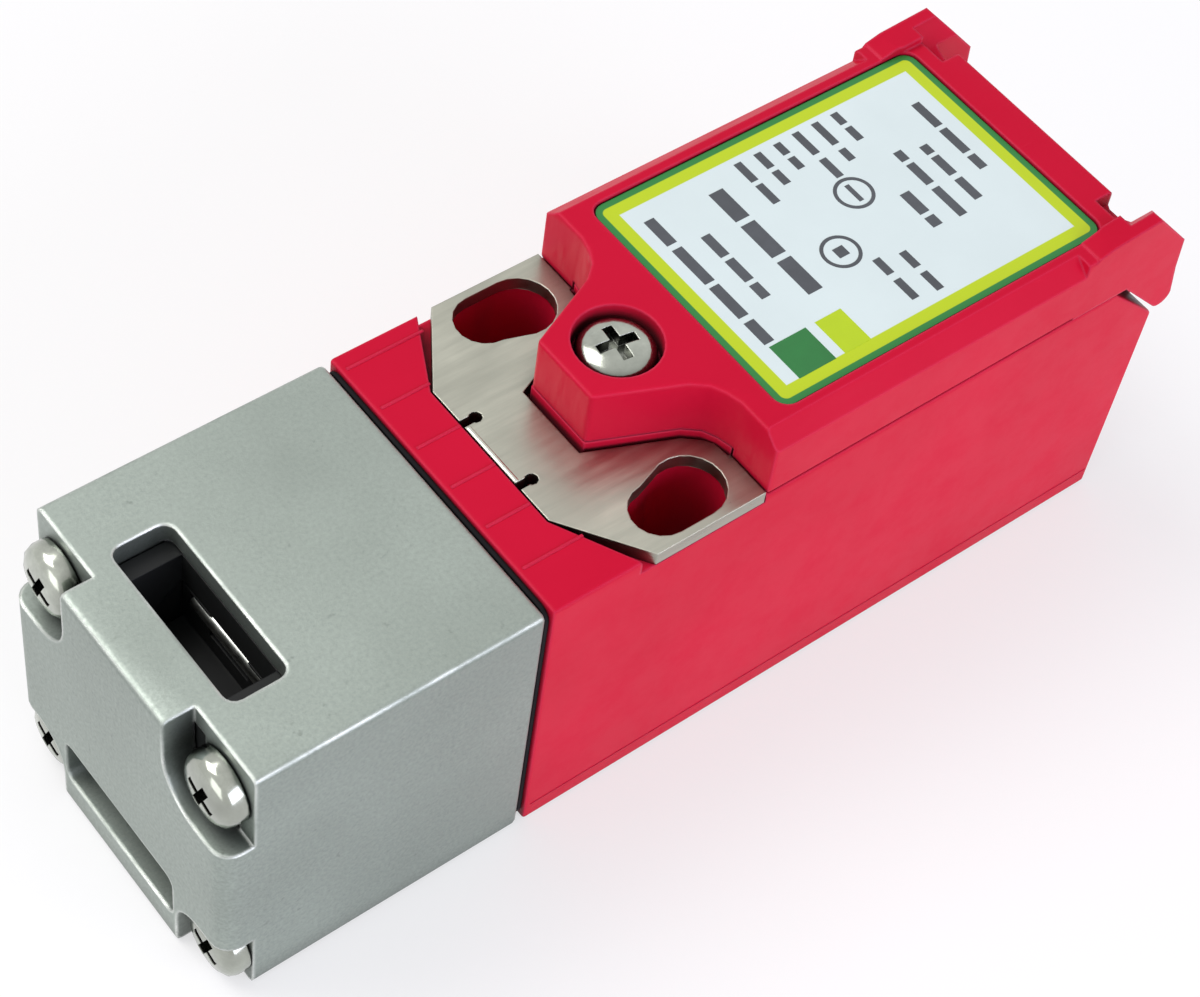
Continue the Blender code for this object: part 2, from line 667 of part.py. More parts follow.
def lug(name, side):
    """A hinge lug behind the chamfer, with an eye that is open to the rear for the trunnion to snap in."""
    inner = HALF - EAR - TRUNNION_LENGTH
    outer = HALF - EAR - 0.3 * MM
    low, high = sorted((side * inner, side * outer))
    foot_x, foot_z = CHAMFER_X + 1.2 * MM, HINGE_Z - EYE_OUTER
    side_view = [(foot_x, foot_z - 1 * MM), (BOX_END_HIGH - 0.8 * MM, foot_z - 1 * MM), (HINGE_X, foot_z)]
    side_view += arc((HINGE_X, HINGE_Z), EYE_OUTER, -90, -40, 3)[1:]
    side_view += arc((HINGE_X, HINGE_Z), EYE_RADIUS, -40, -230, 10)
    side_view += arc((HINGE_X, HINGE_Z), EYE_OUTER, -230, -225, 1) + [(foot_x, foot_z + 1.6 * MM)]
    return helper(outline, name, side_view, "y", low, high)


def body_housing():
    body = outline("body_housing", box_profile(), "y", -HALF, HALF)
    soften(body, 0.35 * MM)
    join(body, *(lug(f"hinge_lug_{name}", side) for name, side in SIDES))
    plate_seat = helper(outline, "plate_seat", plate_outline(SEAT), "z", PLATE_BASE - TOUCH, HEIGHT + OVER)
    island = helper(
        outline, "nose_island", nose_outline(0, LID_FRONT + 0.4 * MM), "z", PLATE_BASE - 1 * MM, NOSE_ISLAND_Z
    )
    tab_seat = helper(
        box, "tab_seat", (PLATE_FRONT - SEAT, -TAB_HALF - SEAT, HEIGHT - TAB_DEPTH - 0.3 * MM),
        (PLATE_FRONT + PLATE + SEAT, TAB_HALF + SEAT, HEIGHT),
    )
    chamber = helper(
        box, "chamber", (CHAMBER_FRONT, -CHAMBER_HALF_WIDTH, CHAMBER_FLOOR),
        (CHAMBER_REAR, CHAMBER_HALF_WIDTH, HEIGHT + OVER),
    )
    soften(chamber, 0.8 * MM)
    cut(body, plate_seat)
    join(body, island)
    cut(body, tab_seat, chamber)
    conduit = helper(
        rod, "conduit_entry", "x", (BOX_END_HIGH, 0, CONDUIT_Z), CONDUIT_RADIUS,
        2 * (BOX_END_HIGH - CHAMBER_REAR + OVER), sides=32
    )
    guide = helper(
        rod, "plunger_guide", "x", ((BOX_FRONT + CHAMBER_FRONT) / 2, 0, CAM_Z), PLUNGER_BORE,
        CHAMBER_FRONT - BOX_FRONT + OVER,
    )
    seal_seat = helper(
        rod, "seal_seat", "x", (BOX_FRONT + (SEAL + SEAT) / 2, 0, CAM_Z), SEAL_RADIUS + SEAT, SEAL + SEAT
    )
    seal_seat.matrix_basis = Matrix.Translation((-SEAT, 0, 0)) @ seal_seat.matrix_basis
    insert_seat = helper(
        rod, "insert_seat", "z", (LID_SCREW_X, 0, (INSERT_BASE + NOSE_ISLAND_Z) / 2), INSERT_RADIUS + SEAT,
        NOSE_ISLAND_Z - INSERT_BASE + 2 * SEAT,
    )
    groove_floor = PARTING_Z - RIM_GROOVE_DEPTH
    gasket_groove = rim_ring("gasket_groove", GROOVE_WIDTH, groove_floor, PARTING_Z + OVER, helper=True)
    cut(body, conduit, guide, seal_seat, insert_seat, gasket_groove)
    for name, side in SIDES:
        cut(body, helper(
            outline, f"fixing_hole_{name}", fixing_hole(side, BODY_HOLE_CLEARANCE), "z", -OVER, HEIGHT + OVER
        ))
    for index, (y, z) in enumerate(head_screw_places()):
        depth = SCREW_LENGTH + POCKET_DEPTH + 0.4 * MM
        cut(body, helper(
            rod, f"screw_pilot_{index}", "x", ((BOX_FRONT + depth) / 2 - OVER / 2, y, z), SCREW_HOLE_RADIUS,
            depth - BOX_FRONT + OVER, sides=12,
        ))
    return paint(body, (0.62, 0.02, 0.05), 0.42)


def rim_ring(name, width, low, high, **options):
    """A ring that follows the box's rim under the lid."""
    outer_half = HALF - 0.55 * MM
    inner_half = outer_half - width
    front, rear = CHAMBER_FRONT - 0.4 * MM - width, CHAMFER_X - 0.6 * MM
    ring = outline(name, rounded(front, rear, -outer_half, outer_half, 1.0 * MM), "z", low, high, **options)
    middle = helper(
        outline, name + "_middle", rounded(front + width, rear - width, -inner_half, inner_half, 0.5 * MM), "z",
        low - OVER, high + OVER,
    )
    return cut(ring, middle)


def cover_gasket():
    floor = PARTING_Z - RIM_GROOVE_DEPTH + SEAT
    gasket = rim_ring("cover_gasket", GROOVE_WIDTH - 2 * SEAT, floor, PARTING_Z - 0.05 * MM)
    return paint(gasket, (0.02, 0.02, 0.02), 0.75)


def mounting_plate():
    plate = outline("mounting_plate", plate_outline(0), "z", PLATE_BASE, HEIGHT)
    tab = helper(
        box, "plate_tab", (PLATE_FRONT, -TAB_HALF, HEIGHT - TAB_DEPTH),
        (PLATE_FRONT + PLATE, TAB_HALF, HEIGHT - 0.2 * MM),
    )
    join(plate, tab)
    nose = helper(
        outline, "plate_cut_out", nose_outline(NOSE_GAP, LID_FRONT + OVER), "z", PLATE_BASE - OVER,
        HEIGHT + OVER,
    )
    cut(plate, nose)
    for name, side in SIDES:
        hole = helper(
            outline, f"plate_hole_{name}", fixing_hole(side, 0), "z", PLATE_BASE - OVER, HEIGHT + OVER
        )
        notch = [
            (PLATE_FRONT - OVER, NOTCH_Y - NOTCH_WIDTH / 2),
            (PLATE_FRONT + NOTCH_DEPTH - NOTCH_WIDTH / 2, NOTCH_Y - NOTCH_WIDTH / 2),
        ]
        notch += arc((PLATE_FRONT + NOTCH_DEPTH, NOTCH_Y), NOTCH_WIDTH * 0.75, -120, 120, 6)
        notch += [
            (PLATE_FRONT + NOTCH_DEPTH - NOTCH_WIDTH / 2, NOTCH_Y + NOTCH_WIDTH / 2),
            (PLATE_FRONT - OVER, NOTCH_Y + NOTCH_WIDTH / 2),
        ]
        notch = [(x, side * y) for x, y in notch]
        relief = helper(outline, f"plate_notch_{name}", notch, "z", PLATE_BASE - OVER, HEIGHT + OVER)
        cut(plate, hole, relief)
    return paint(plate, (0.45, 0.45, 0.4), 0.3, 1.0)


def plunger_seal():
    profile = [
        (PLUNGER_RADIUS + TOUCH, SEAL), (SEAL_RADIUS, SEAL), (SEAL_RADIUS, 0), (PLUNGER_RADIUS + 0.5 * MM, 0),
        (PLUNGER_RADIUS + TOUCH, 0.5 * MM),
    ]
    seal = turned("plunger_seal", profile, "x", (BOX_FRONT - TOUCH, 0, CAM_Z))
    return paint(seal, (0.02, 0.02, 0.02), 0.75)


def threaded_insert():
    height = NOSE_ISLAND_Z - 0.1 * MM - INSERT_BASE
    wall, groove = INSERT_RADIUS, INSERT_RADIUS - 0.35 * MM
    profile = [
        (LID_BORE_RADIUS, height), (wall, height), (wall, 0.62 * height), (groove, 0.56 * height),
        (groove, 0.44 * height), (wall, 0.38 * height), (wall, 0), (LID_BORE_RADIUS, 0),
    ]
    insert = turned("threaded_insert", profile, "z", (LID_SCREW_X, 0, INSERT_BASE))
    return paint(insert, (0.6, 0.45, 0.18), 0.35, 1.0)


# Lid

def ear_profile():
    """A rear ear of the lid from the side: over the top, down the slope and round the hinge axis."""
    points = [(LID_BEVEL_END, LID_BASE), (LID_BEVEL_END, LID_TOP - 1.0 * MM)]
    points += [(LID_BEVEL_END + 0.95 * MM, EAR_TOP - 0.6 * MM), (LID_BEVEL_END + 2.3 * MM, EAR_TOP - 0.25 * MM)]
    points += [(LID_REAR + 0.45 * MM, EAR_TOP), (HINGE_X + 0.25 * MM, EAR_TOP - 4.0 * MM)]
    points += [(HINGE_X + 0.45 * MM, HINGE_Z + 2.95 * MM)]
    points += arc((HINGE_X, HINGE_Z), EAR_TIP, 0, -135, 8)
    return points + [(CHAMFER_X + 0.9 * MM, LID_BASE)]


def lid_groove(name, side):
    """The hollow between an ear and the lid's rear middle edge, seen along X."""
    floor = LID_TOP - GROOVE_DEPTH
    points = [
        (HALF - GROOVE_INNER, EAR_TOP + OVER), (HALF - GROOVE_INNER, floor + 0.25 * MM),
        (HALF - GROOVE_INNER + 0.25 * MM, floor), (HALF - 3.2 * MM, floor), (HALF - 2.2 * MM, floor + 0.5 * MM),
        (HALF - 1.5 * MM, floor + 1.3 * MM), (HALF - 1.0 * MM, floor + 2.1 * MM),
        (HALF - 0.8 * MM, EAR_TOP + OVER),
    ]
    points = [(side * y, z) for y, z in points]
    return helper(outline, name, points, "x", LID_REAR - LID_WALL - 0.1 * MM, BOX_END_HIGH + 3 * OVER)


def lid_outline():
    points = nose_outline(0, LID_FRONT)
    front = [point for point in points if point[1] > 0][:-1]
    return mirrored(front + [(LID_FRONT, HALF), (LID_REAR, HALF)])


def cover(carrier):
    lid = outline("cover", lid_outline(), "z", LID_BASE, LID_TOP)
    soften(lid, 0.3 * MM)
    for name, side in SIDES:
        low, high = sorted((side * (HALF - EAR), side * HALF))
        join(lid, helper(outline, f"ear_{name}", ear_profile(), "y", low, high))
    underside = helper(
        outline, "nose_underside", nose_outline(1 * MM, LID_FRONT + 0.6 * MM), "z", LID_BASE - OVER,
        NOSE_ISLAND_Z + TOUCH,
    )
    hollow = helper(
        box, "lid_hollow", (CHAMBER_FRONT + 0.3 * MM, -CHAMBER_HALF_WIDTH, LID_BASE - OVER),
        (CHAMBER_REAR + 0.2 * MM, CHAMBER_HALF_WIDTH, LABEL_FLOOR - LID_SKIN),
    )
    recess = helper(
        outline, "label_recess",
        rounded(
            LABEL_FRONT - SEAT, LABEL_REAR + SEAT, -LABEL_HALF_WIDTH - SEAT, LABEL_HALF_WIDTH + SEAT,
            LABEL_CORNER + SEAT, 5,
        ),
        "z", LABEL_FLOOR, LID_TOP + OVER,
    )
    well = helper(
        rod, "screw_well", "z", (LID_SCREW_X, 0, LID_TOP), LID_SCREW_WELL, 2 * LID_SCREW_WELL_DEPTH, sides=32
    )
    bore = helper(rod, "lid_screw_bore", "z", (LID_SCREW_X, 0, LID_TOP), LID_BORE_RADIUS, 8 * OVER)
    retainer_room = helper(
        rod, "retainer_room", "z", (LID_SCREW_X, 0, NOSE_ISLAND_Z), RETAINER_RADIUS + RETAINER_GAP,
        2 * (RETAINER + 0.5 * MM),
    )
    cut(lid, underside, hollow, recess, well, bore, retainer_room)
    for name, side in SIDES:
        edge = [
            (side * (HALF - LID_BEVEL_Y), LID_TOP), (side * (HALF + LID_BEVEL_Y), LID_TOP - 2 * LID_BEVEL_Z),
            (side * (HALF + LID_BEVEL_Y), LID_TOP + OVER), (side * (HALF - LID_BEVEL_Y), LID_TOP + OVER),
        ]
        bevel = helper(outline, f"lid_bevel_{name}", edge, "x", LID_FRONT - OVER, LID_BEVEL_END)
        cut(lid, bevel, lid_groove(f"lid_groove_{name}", side))
    for name, side in SIDES:
        join(lid, helper(
            rod, f"trunnion_{name}", "y",
            (HINGE_X, side * (HALF - EAR - TRUNNION_LENGTH / 2 + 0.5 * MM), HINGE_Z),
            TRUNNION_RADIUS, TRUNNION_LENGTH + 1.0 * MM, sides=16,
        ))
    put(lid, carrier)
    return paint(lid, (0.62, 0.02, 0.05), 0.42)


def label_plate(carrier):
    plan = rounded(LABEL_FRONT, LABEL_REAR, -LABEL_HALF_WIDTH, LABEL_HALF_WIDTH, LABEL_CORNER, 5)
    label = outline("label_plate", plan, "z", LABEL_FLOOR + TOUCH, LABEL_FLOOR + TOUCH + LABEL)
    put(label, carrier)
    return paint(label, (0.7, 0.78, 0.85), 0.35)


def cover_screw(carrier):
    """The captive screw, its shank waisted so that the retainer holds it in the lid."""
    seat = LID_TOP - LID_SCREW_WELL_DEPTH + TOUCH
    radius, height = LID_SCREW_RADIUS, SCREW_HEAD_HEIGHT
    profile = [
        (0, height), (radius * 0.45, 0.98 * height), (radius * 0.75, 0.88 * height),
        (radius * 0.93, 0.7 * height), (radius, 0.45 * height), (radius, 0), (LID_SHANK_RADIUS, 0),
        (LID_SHANK_RADIUS, LID_SHANK_END - seat + 0.5 * MM), (LID_SHANK_RADIUS * 0.6, LID_SHANK_END - seat),
        (0, LID_SHANK_END - seat),
    ]
    screw = turned("cover_screw", profile, "z", (LID_SCREW_X, 0, seat))
    for index, turn in enumerate((0, 90)):
        arm = helper(
            box, f"cover_screw_recess_{index}", (-LID_RECESS_REACH, -LID_RECESS_HALF, -RECESS_DEPTH),
            (LID_RECESS_REACH, LID_RECESS_HALF, RECESS_DEPTH),
        )
        spin = Matrix.Rotation(math.radians(turn + LID_RECESS_TURN), 4, "Z")
        arm.matrix_basis = Matrix.Translation((LID_SCREW_X, 0, seat + height)) @ spin
        cut(screw, arm)
    put(screw, carrier)
    return paint(screw, (0.6, 0.6, 0.55), 0.25, 1.0)


def screw_retainer(carrier):
    low = NOSE_ISLAND_Z + TOUCH + RETAINER_GAP
    bore = LID_SHANK_RADIUS + 0.08 * MM
    profile = [(bore, RETAINER), (RETAINER_RADIUS, RETAINER), (RETAINER_RADIUS, 0), (bore, 0)]
    ring = turned("screw_retainer", profile, "z", (LID_SCREW_X, 0, low))
    put(ring, carrier)
    return paint(ring, (0.5, 0.5, 0.48), 0.35, 1.0)


# Contacts

def terminals():
    """(name, screw's x, its pole's side, strip's front face, which way its contact tip looks)."""
    found = []
    for kind, screw_x in (("break", TERMINAL_FRONT_X), ("make", TERMINAL_REAR_X)):
        for name, side in SIDES:
            if kind == "break":
                face, looks = BREAK_BRIDGE_X - BREAK_GAP - TIP_THICKNESS, 1
            else:
                face, looks = MAKE_BRIDGE_X + BRIDGE + MAKE_GAP + TIP_THICKNESS, -1
            found.append((f"{kind}_{name}", screw_x, side * POLE_Y, face, looks))
    return found


def terminal_strip(name, screw_x, y, face, looks):
    """A bent strip: its leg carries the contact tip, its foot lies under the terminal screw."""
    low, high = sorted((face, face - looks * STRIP))
    top = BLOCK_TOP + TOUCH + STRIP
    leg_x, far_x = (low, screw_x + PAD_HALF_WIDTH) if looks > 0 else (high, screw_x + PAD_HALF_WIDTH)
    strip = box(
        f"terminal_strip_{name}", (low, y - STRIP_HALF_WIDTH, CAM_Z - STRIP_HALF_WIDTH),
        (high, y + STRIP_HALF_WIDTH, top),
    )
    foot = helper(
        box, f"strip_foot_{name}", (min(leg_x, low), y - PAD_HALF_WIDTH, BLOCK_TOP + TOUCH),
        (far_x, y + PAD_HALF_WIDTH, top),
    )
    tip = helper(
        rod, f"strip_tip_{name}", "x", (face + looks * (TIP_THICKNESS - TIP_ROOT) / 2, y, CAM_Z), TIP_RADIUS,
        TIP_THICKNESS + TIP_ROOT, sides=12,
    )
    hole = helper(rod, f"strip_hole_{name}", "z", (screw_x, y, top), 1.7 * MM, OVER, sides=16)
    join(strip, foot, tip)
    cut(strip, hole)
    return paint(strip, (0.62, 0.42, 0.2), 0.35, 1.0)


def clamp_plate(name, screw_x, y):
    low = BLOCK_TOP + TOUCH + STRIP + TOUCH
    clamp = box(
        f"clamp_plate_{name}", (screw_x - CLAMP_HALF, y - CLAMP_HALF, low),
        (screw_x + CLAMP_HALF, y + CLAMP_HALF, low + CLAMP),
    )
    soften(clamp, 0.15 * MM, 1)
    cut(clamp, helper(rod, f"clamp_hole_{name}", "z", (screw_x, y, low), 1.6 * MM, OVER, sides=16))
    return paint(clamp, (0.55, 0.55, 0.52), 0.3, 1.0)


def terminal_screw(name, screw_x, y):
    seat = BLOCK_TOP + STRIP + CLAMP + 3 * TOUCH
    radius, height = TERMINAL_HEAD_RADIUS, TERMINAL_HEAD_HEIGHT
    profile = [
        (0, height), (radius * 0.8, height), (radius, height - 0.3 * MM), (radius, 0), (1.35 * MM, 0),
        (1.35 * MM, -6.0 * MM), (0, -6.0 * MM),
    ]
    screw = turned(f"terminal_screw_{name}", profile, "z", (screw_x, y, seat), sides=16)
    slot = helper(
        box, f"terminal_slot_{name}", (screw_x - 3 * MM, y - 0.3 * MM, seat + height - 0.8 * MM),
        (screw_x + 3 * MM, y + 0.3 * MM, seat + height + OVER),
    )
    cut(screw, slot)
    return paint(screw, (0.6, 0.6, 0.55), 0.3, 1.0)


def contact_block():
    block = box(
        "contact_block", (BLOCK_FRONT, -BLOCK_HALF_WIDTH, BLOCK_BASE), (BLOCK_REAR, BLOCK_HALF_WIDTH, BLOCK_TOP)
    )
    middle = (TERMINAL_FRONT_X + TERMINAL_REAR_X) / 2
    join(
        block,
        helper(
            box, "pole_barrier", (BLOCK_FRONT + 0.5 * MM, -BARRIER_HALF, BLOCK_TOP - OVER),
            (BLOCK_REAR - 0.5 * MM, BARRIER_HALF, BARRIER_TOP),
        ),
        helper(
            box, "contact_barrier", (middle - BARRIER_HALF, -BLOCK_HALF_WIDTH + 0.5 * MM, BLOCK_TOP - OVER),
            (middle + BARRIER_HALF, BLOCK_HALF_WIDTH - 0.5 * MM, BARRIER_TOP - 0.8 * MM),
        ),
    )
    room = helper(
        box, "contact_room", (CONTACT_FRONT, -CONTACT_HALF_WIDTH, CAM_Z - CONTACT_HALF_HEIGHT),
        (CONTACT_REAR, CONTACT_HALF_WIDTH, CAM_Z + CONTACT_HALF_HEIGHT),
    )
    entry = helper(
        rod, "plunger_entry", "x", (BLOCK_FRONT, 0, CAM_Z), PLUNGER_BORE,
        2 * (CONTACT_FRONT - BLOCK_FRONT) + OVER,
    )
    spring_room = helper(
        rod, "spring_room", "x", ((CONTACT_REAR + SPRING_END + SEAT) / 2 - OVER / 2, 0, CAM_Z),
        SPRING_RADIUS + SPRING_WIRE + 0.3 * MM, SPRING_END + SEAT - CONTACT_REAR + OVER,
    )
    cut(block, room, entry, spring_room)
    for name, screw_x, y, face, looks in terminals():
        low, high = sorted((face, face - looks * STRIP))
        leg_slot = helper(
            box, f"leg_slot_{name}", (low - TOUCH, y - STRIP_HALF_WIDTH - TOUCH, CAM_Z),
            (high + TOUCH, y + STRIP_HALF_WIDTH + TOUCH, BLOCK_TOP + OVER),
        )
        well = helper(rod, f"screw_well_{name}", "z", (screw_x, y, BLOCK_TOP), 1.6 * MM, 2 * 5.2 * MM, sides=16)
        cut(block, leg_slot, well)
    return paint(block, (0.03, 0.03, 0.032), 0.5)


def plunger(carrier):
    length = BAR_FRONT + 0.5 * MM - PLUNGER_TIP_X
    radius = PLUNGER_RADIUS
    cone = radius - PLUNGER_NOSE
    profile = [
        (0, length), (radius, length), (radius, cone + 0.2 * MM), (PLUNGER_NOSE, 0.15 * MM),
        (PLUNGER_NOSE * 0.6, 0), (0, 0),
    ]
    stem = turned("plunger", profile, "x", (PLUNGER_TIP_X, 0, CAM_Z))
    bar = helper(
        box, "plunger_bar", (BAR_FRONT, -BAR_HALF_WIDTH, CAM_Z - BAR_HALF_HEIGHT),
        (BAR_REAR, BAR_HALF_WIDTH, CAM_Z + BAR_HALF_HEIGHT),
    )
    spigot = helper(
        rod, "spring_spigot", "x", (BAR_REAR + 0.4 * MM, 0, CAM_Z), SPRING_RADIUS - SPRING_WIRE - 0.3 * MM,
        2.0 * MM, sides=12,
    )
    join(stem, bar, spigot)
    for name, low in window_places():
        cut(stem, helper(
            box, f"{name}_window", (low, -2 * BAR_HALF_WIDTH, CAM_Z - WINDOW_HALF_HEIGHT),
            (low + WINDOW, 2 * BAR_HALF_WIDTH, CAM_Z + WINDOW_HALF_HEIGHT),
        ))
    put(stem, carrier)
    return paint(stem, (0.75, 0.74, 0.7), 0.45)


def window_places():
    return [
        ("break", BREAK_BRIDGE_X - TOUCH),
        ("make", MAKE_BRIDGE_X + BRIDGE + TOUCH - WINDOW),
    ]


def bridge(name, low, carrier):
    bar = box(
        f"{name}_bridge", (low, -BRIDGE_HALF_LENGTH, CAM_Z - BRIDGE_HALF_HEIGHT),
        (low + BRIDGE, BRIDGE_HALF_LENGTH, CAM_Z + BRIDGE_HALF_HEIGHT),
    )
    soften(bar, 0.15 * MM, 1)
    put(bar, carrier)
    return paint(bar, (0.65, 0.45, 0.22), 0.3, 1.0)


def bridge_springs(carrier):
    length = WINDOW - BRIDGE - 4 * TOUCH
    starts = {
        "break": BREAK_BRIDGE_X + BRIDGE + TOUCH,
        "make": MAKE_BRIDGE_X - TOUCH - length,
    }
    for name, start in starts.items():
        spring = coil(
            f"{name}_bridge_spring", "x", (start, 0, CAM_Z), BRIDGE_SPRING_RADIUS, 0.16 * MM, length,
            BRIDGE_SPRING_TURNS,
        )
        put(spring, carrier)
        paint(spring, (0.6, 0.6, 0.6), 0.25, 1.0)


def return_spring():
    start = BAR_REAR + TOUCH
    spring = coil(
        "return_spring", "x", (start, 0, CAM_Z), SPRING_RADIUS, SPRING_WIRE, SPRING_END - start, SPRING_TURNS
    )
    return paint(spring, (0.6, 0.6, 0.6), 0.25, 1.0)


def build():
    empty_scene()
    frame = pivot("switch_frame", (-BIG_LOBE_X, 0, 0))
    axes = {}
    for name, place in (
        ("cam_axis", (CAM_X, 0, CAM_Z)),
        ("plunger_axis", (PLUNGER_TIP_X, 0, CAM_Z)),
        ("hinge_axis", (HINGE_X, 0, HINGE_Z)),
    ):
        axes[name] = pivot(name, place)
        axes[name].parent = frame
    head_housing()
    for number, (y, z) in enumerate(head_screw_places(), 1):
        head_screw(number, y, z)
    cam_carrier()
    cam_axle()
    cam_wheel(axes["cam_axis"])
    cam_pin(1, axes["cam_axis"])
    cam_pin(2, axes["cam_axis"])
    head_gasket()
    body_housing()
    mounting_plate()
    plunger_seal()
    threaded_insert()
    cover_gasket()
    contact_block()
    for name, screw_x, y, face, looks in terminals():
        terminal_strip(name, screw_x, y, face, looks)
        clamp_plate(name, screw_x, y)
        terminal_screw(name, screw_x, y)
    return_spring()
    plunger(axes["plunger_axis"])
    bridge("break", BREAK_BRIDGE_X, axes["plunger_axis"])
    bridge("make", MAKE_BRIDGE_X, axes["plunger_axis"])
    bridge_springs(axes["plunger_axis"])
    cover(axes["hinge_axis"])
    label_plate(axes["hinge_axis"])
    cover_screw(axes["hinge_axis"])
    screw_retainer(axes["hinge_axis"])


build()
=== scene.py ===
# Safety interlock switch: looks, small details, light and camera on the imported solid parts.
# Names that end in _MM hold millimetres, with x counted from the head's front face.
# Other lengths are metres.

import json
import math

import bmesh
import bpy
from mathutils import Matrix, Vector

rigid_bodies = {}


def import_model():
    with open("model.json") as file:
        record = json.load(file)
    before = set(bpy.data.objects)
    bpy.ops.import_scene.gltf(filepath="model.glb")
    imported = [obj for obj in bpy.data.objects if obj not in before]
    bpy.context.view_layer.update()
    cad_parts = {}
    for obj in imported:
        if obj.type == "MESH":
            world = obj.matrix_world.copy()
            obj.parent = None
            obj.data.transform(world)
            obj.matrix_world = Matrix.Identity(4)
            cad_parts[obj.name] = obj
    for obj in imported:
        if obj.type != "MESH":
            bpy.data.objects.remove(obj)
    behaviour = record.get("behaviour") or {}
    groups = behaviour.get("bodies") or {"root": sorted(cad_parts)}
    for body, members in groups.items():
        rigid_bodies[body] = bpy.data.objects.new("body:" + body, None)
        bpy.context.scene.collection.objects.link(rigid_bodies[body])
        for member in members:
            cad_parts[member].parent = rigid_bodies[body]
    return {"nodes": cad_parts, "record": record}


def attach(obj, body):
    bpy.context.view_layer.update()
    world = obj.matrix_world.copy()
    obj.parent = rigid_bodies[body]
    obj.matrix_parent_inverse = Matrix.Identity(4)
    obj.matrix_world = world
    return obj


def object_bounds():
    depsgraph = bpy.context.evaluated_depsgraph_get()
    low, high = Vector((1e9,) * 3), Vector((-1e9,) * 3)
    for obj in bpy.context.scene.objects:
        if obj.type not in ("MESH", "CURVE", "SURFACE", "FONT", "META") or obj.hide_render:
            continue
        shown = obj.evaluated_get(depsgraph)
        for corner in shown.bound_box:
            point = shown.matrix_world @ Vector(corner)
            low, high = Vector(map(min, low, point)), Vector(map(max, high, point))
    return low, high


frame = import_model()
CAD_BOUNDS = [list(corner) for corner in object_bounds()]

MM = 0.001
ORIGIN_X_MM = 38.45
HALF_MM = 12.5
HEIGHT_MM = 25.0
SMOOTH_ANGLE = math.radians(32)
ROUND_ANGLE = math.radians(48)
WELD = 1e-6


def at(x, y, z):
    """A place in the part's frame from millimetres behind the head's front face."""
    return Vector(((x - ORIGIN_X_MM) * MM, y * MM, z * MM))


# Materials

ZINC = (0.325, 0.37, 0.335)
# Rubbed zinc: edges paler from wear and from a painted highlight.
RUBBED_ZINC_HIGHLIGHT = (0.80, 0.83, 0.79)
RED = (0.560, 0.005, 0.030)
RED_CLOUD = (0.60, 0.007, 0.038)
RED_SCUFF = (0.66, 0.04, 0.08)
# Red edge: a painted highlight along sharp edges.
RED_EDGE_HIGHLIGHT = (0.80, 0.06, 0.14)
# Red hollow: painted shade in recesses and holes.
RED_PAINTED_SHADE = (0.040, 0.018, 0.020)
LABEL_PAPER = (0.66, 0.755, 0.745)
LABEL_GREEN = (0.012, 0.19, 0.03)
LABEL_LIME = (0.47, 0.60, 0.003)
EVEN_GRAIN = (1.0, 1.0, 1.0)
GRAIN_ALONG_X = (0.08, 1.0, 1.0)
GRAIN_ALONG_Y = (1.0, 0.1, 1.0)
GRAIN_ALONG_Z = (1.0, 1.0, 0.1)
SHADER_SAMPLES = 6
FLAT_DOT = 0.998
SHUT_IN = 0.1


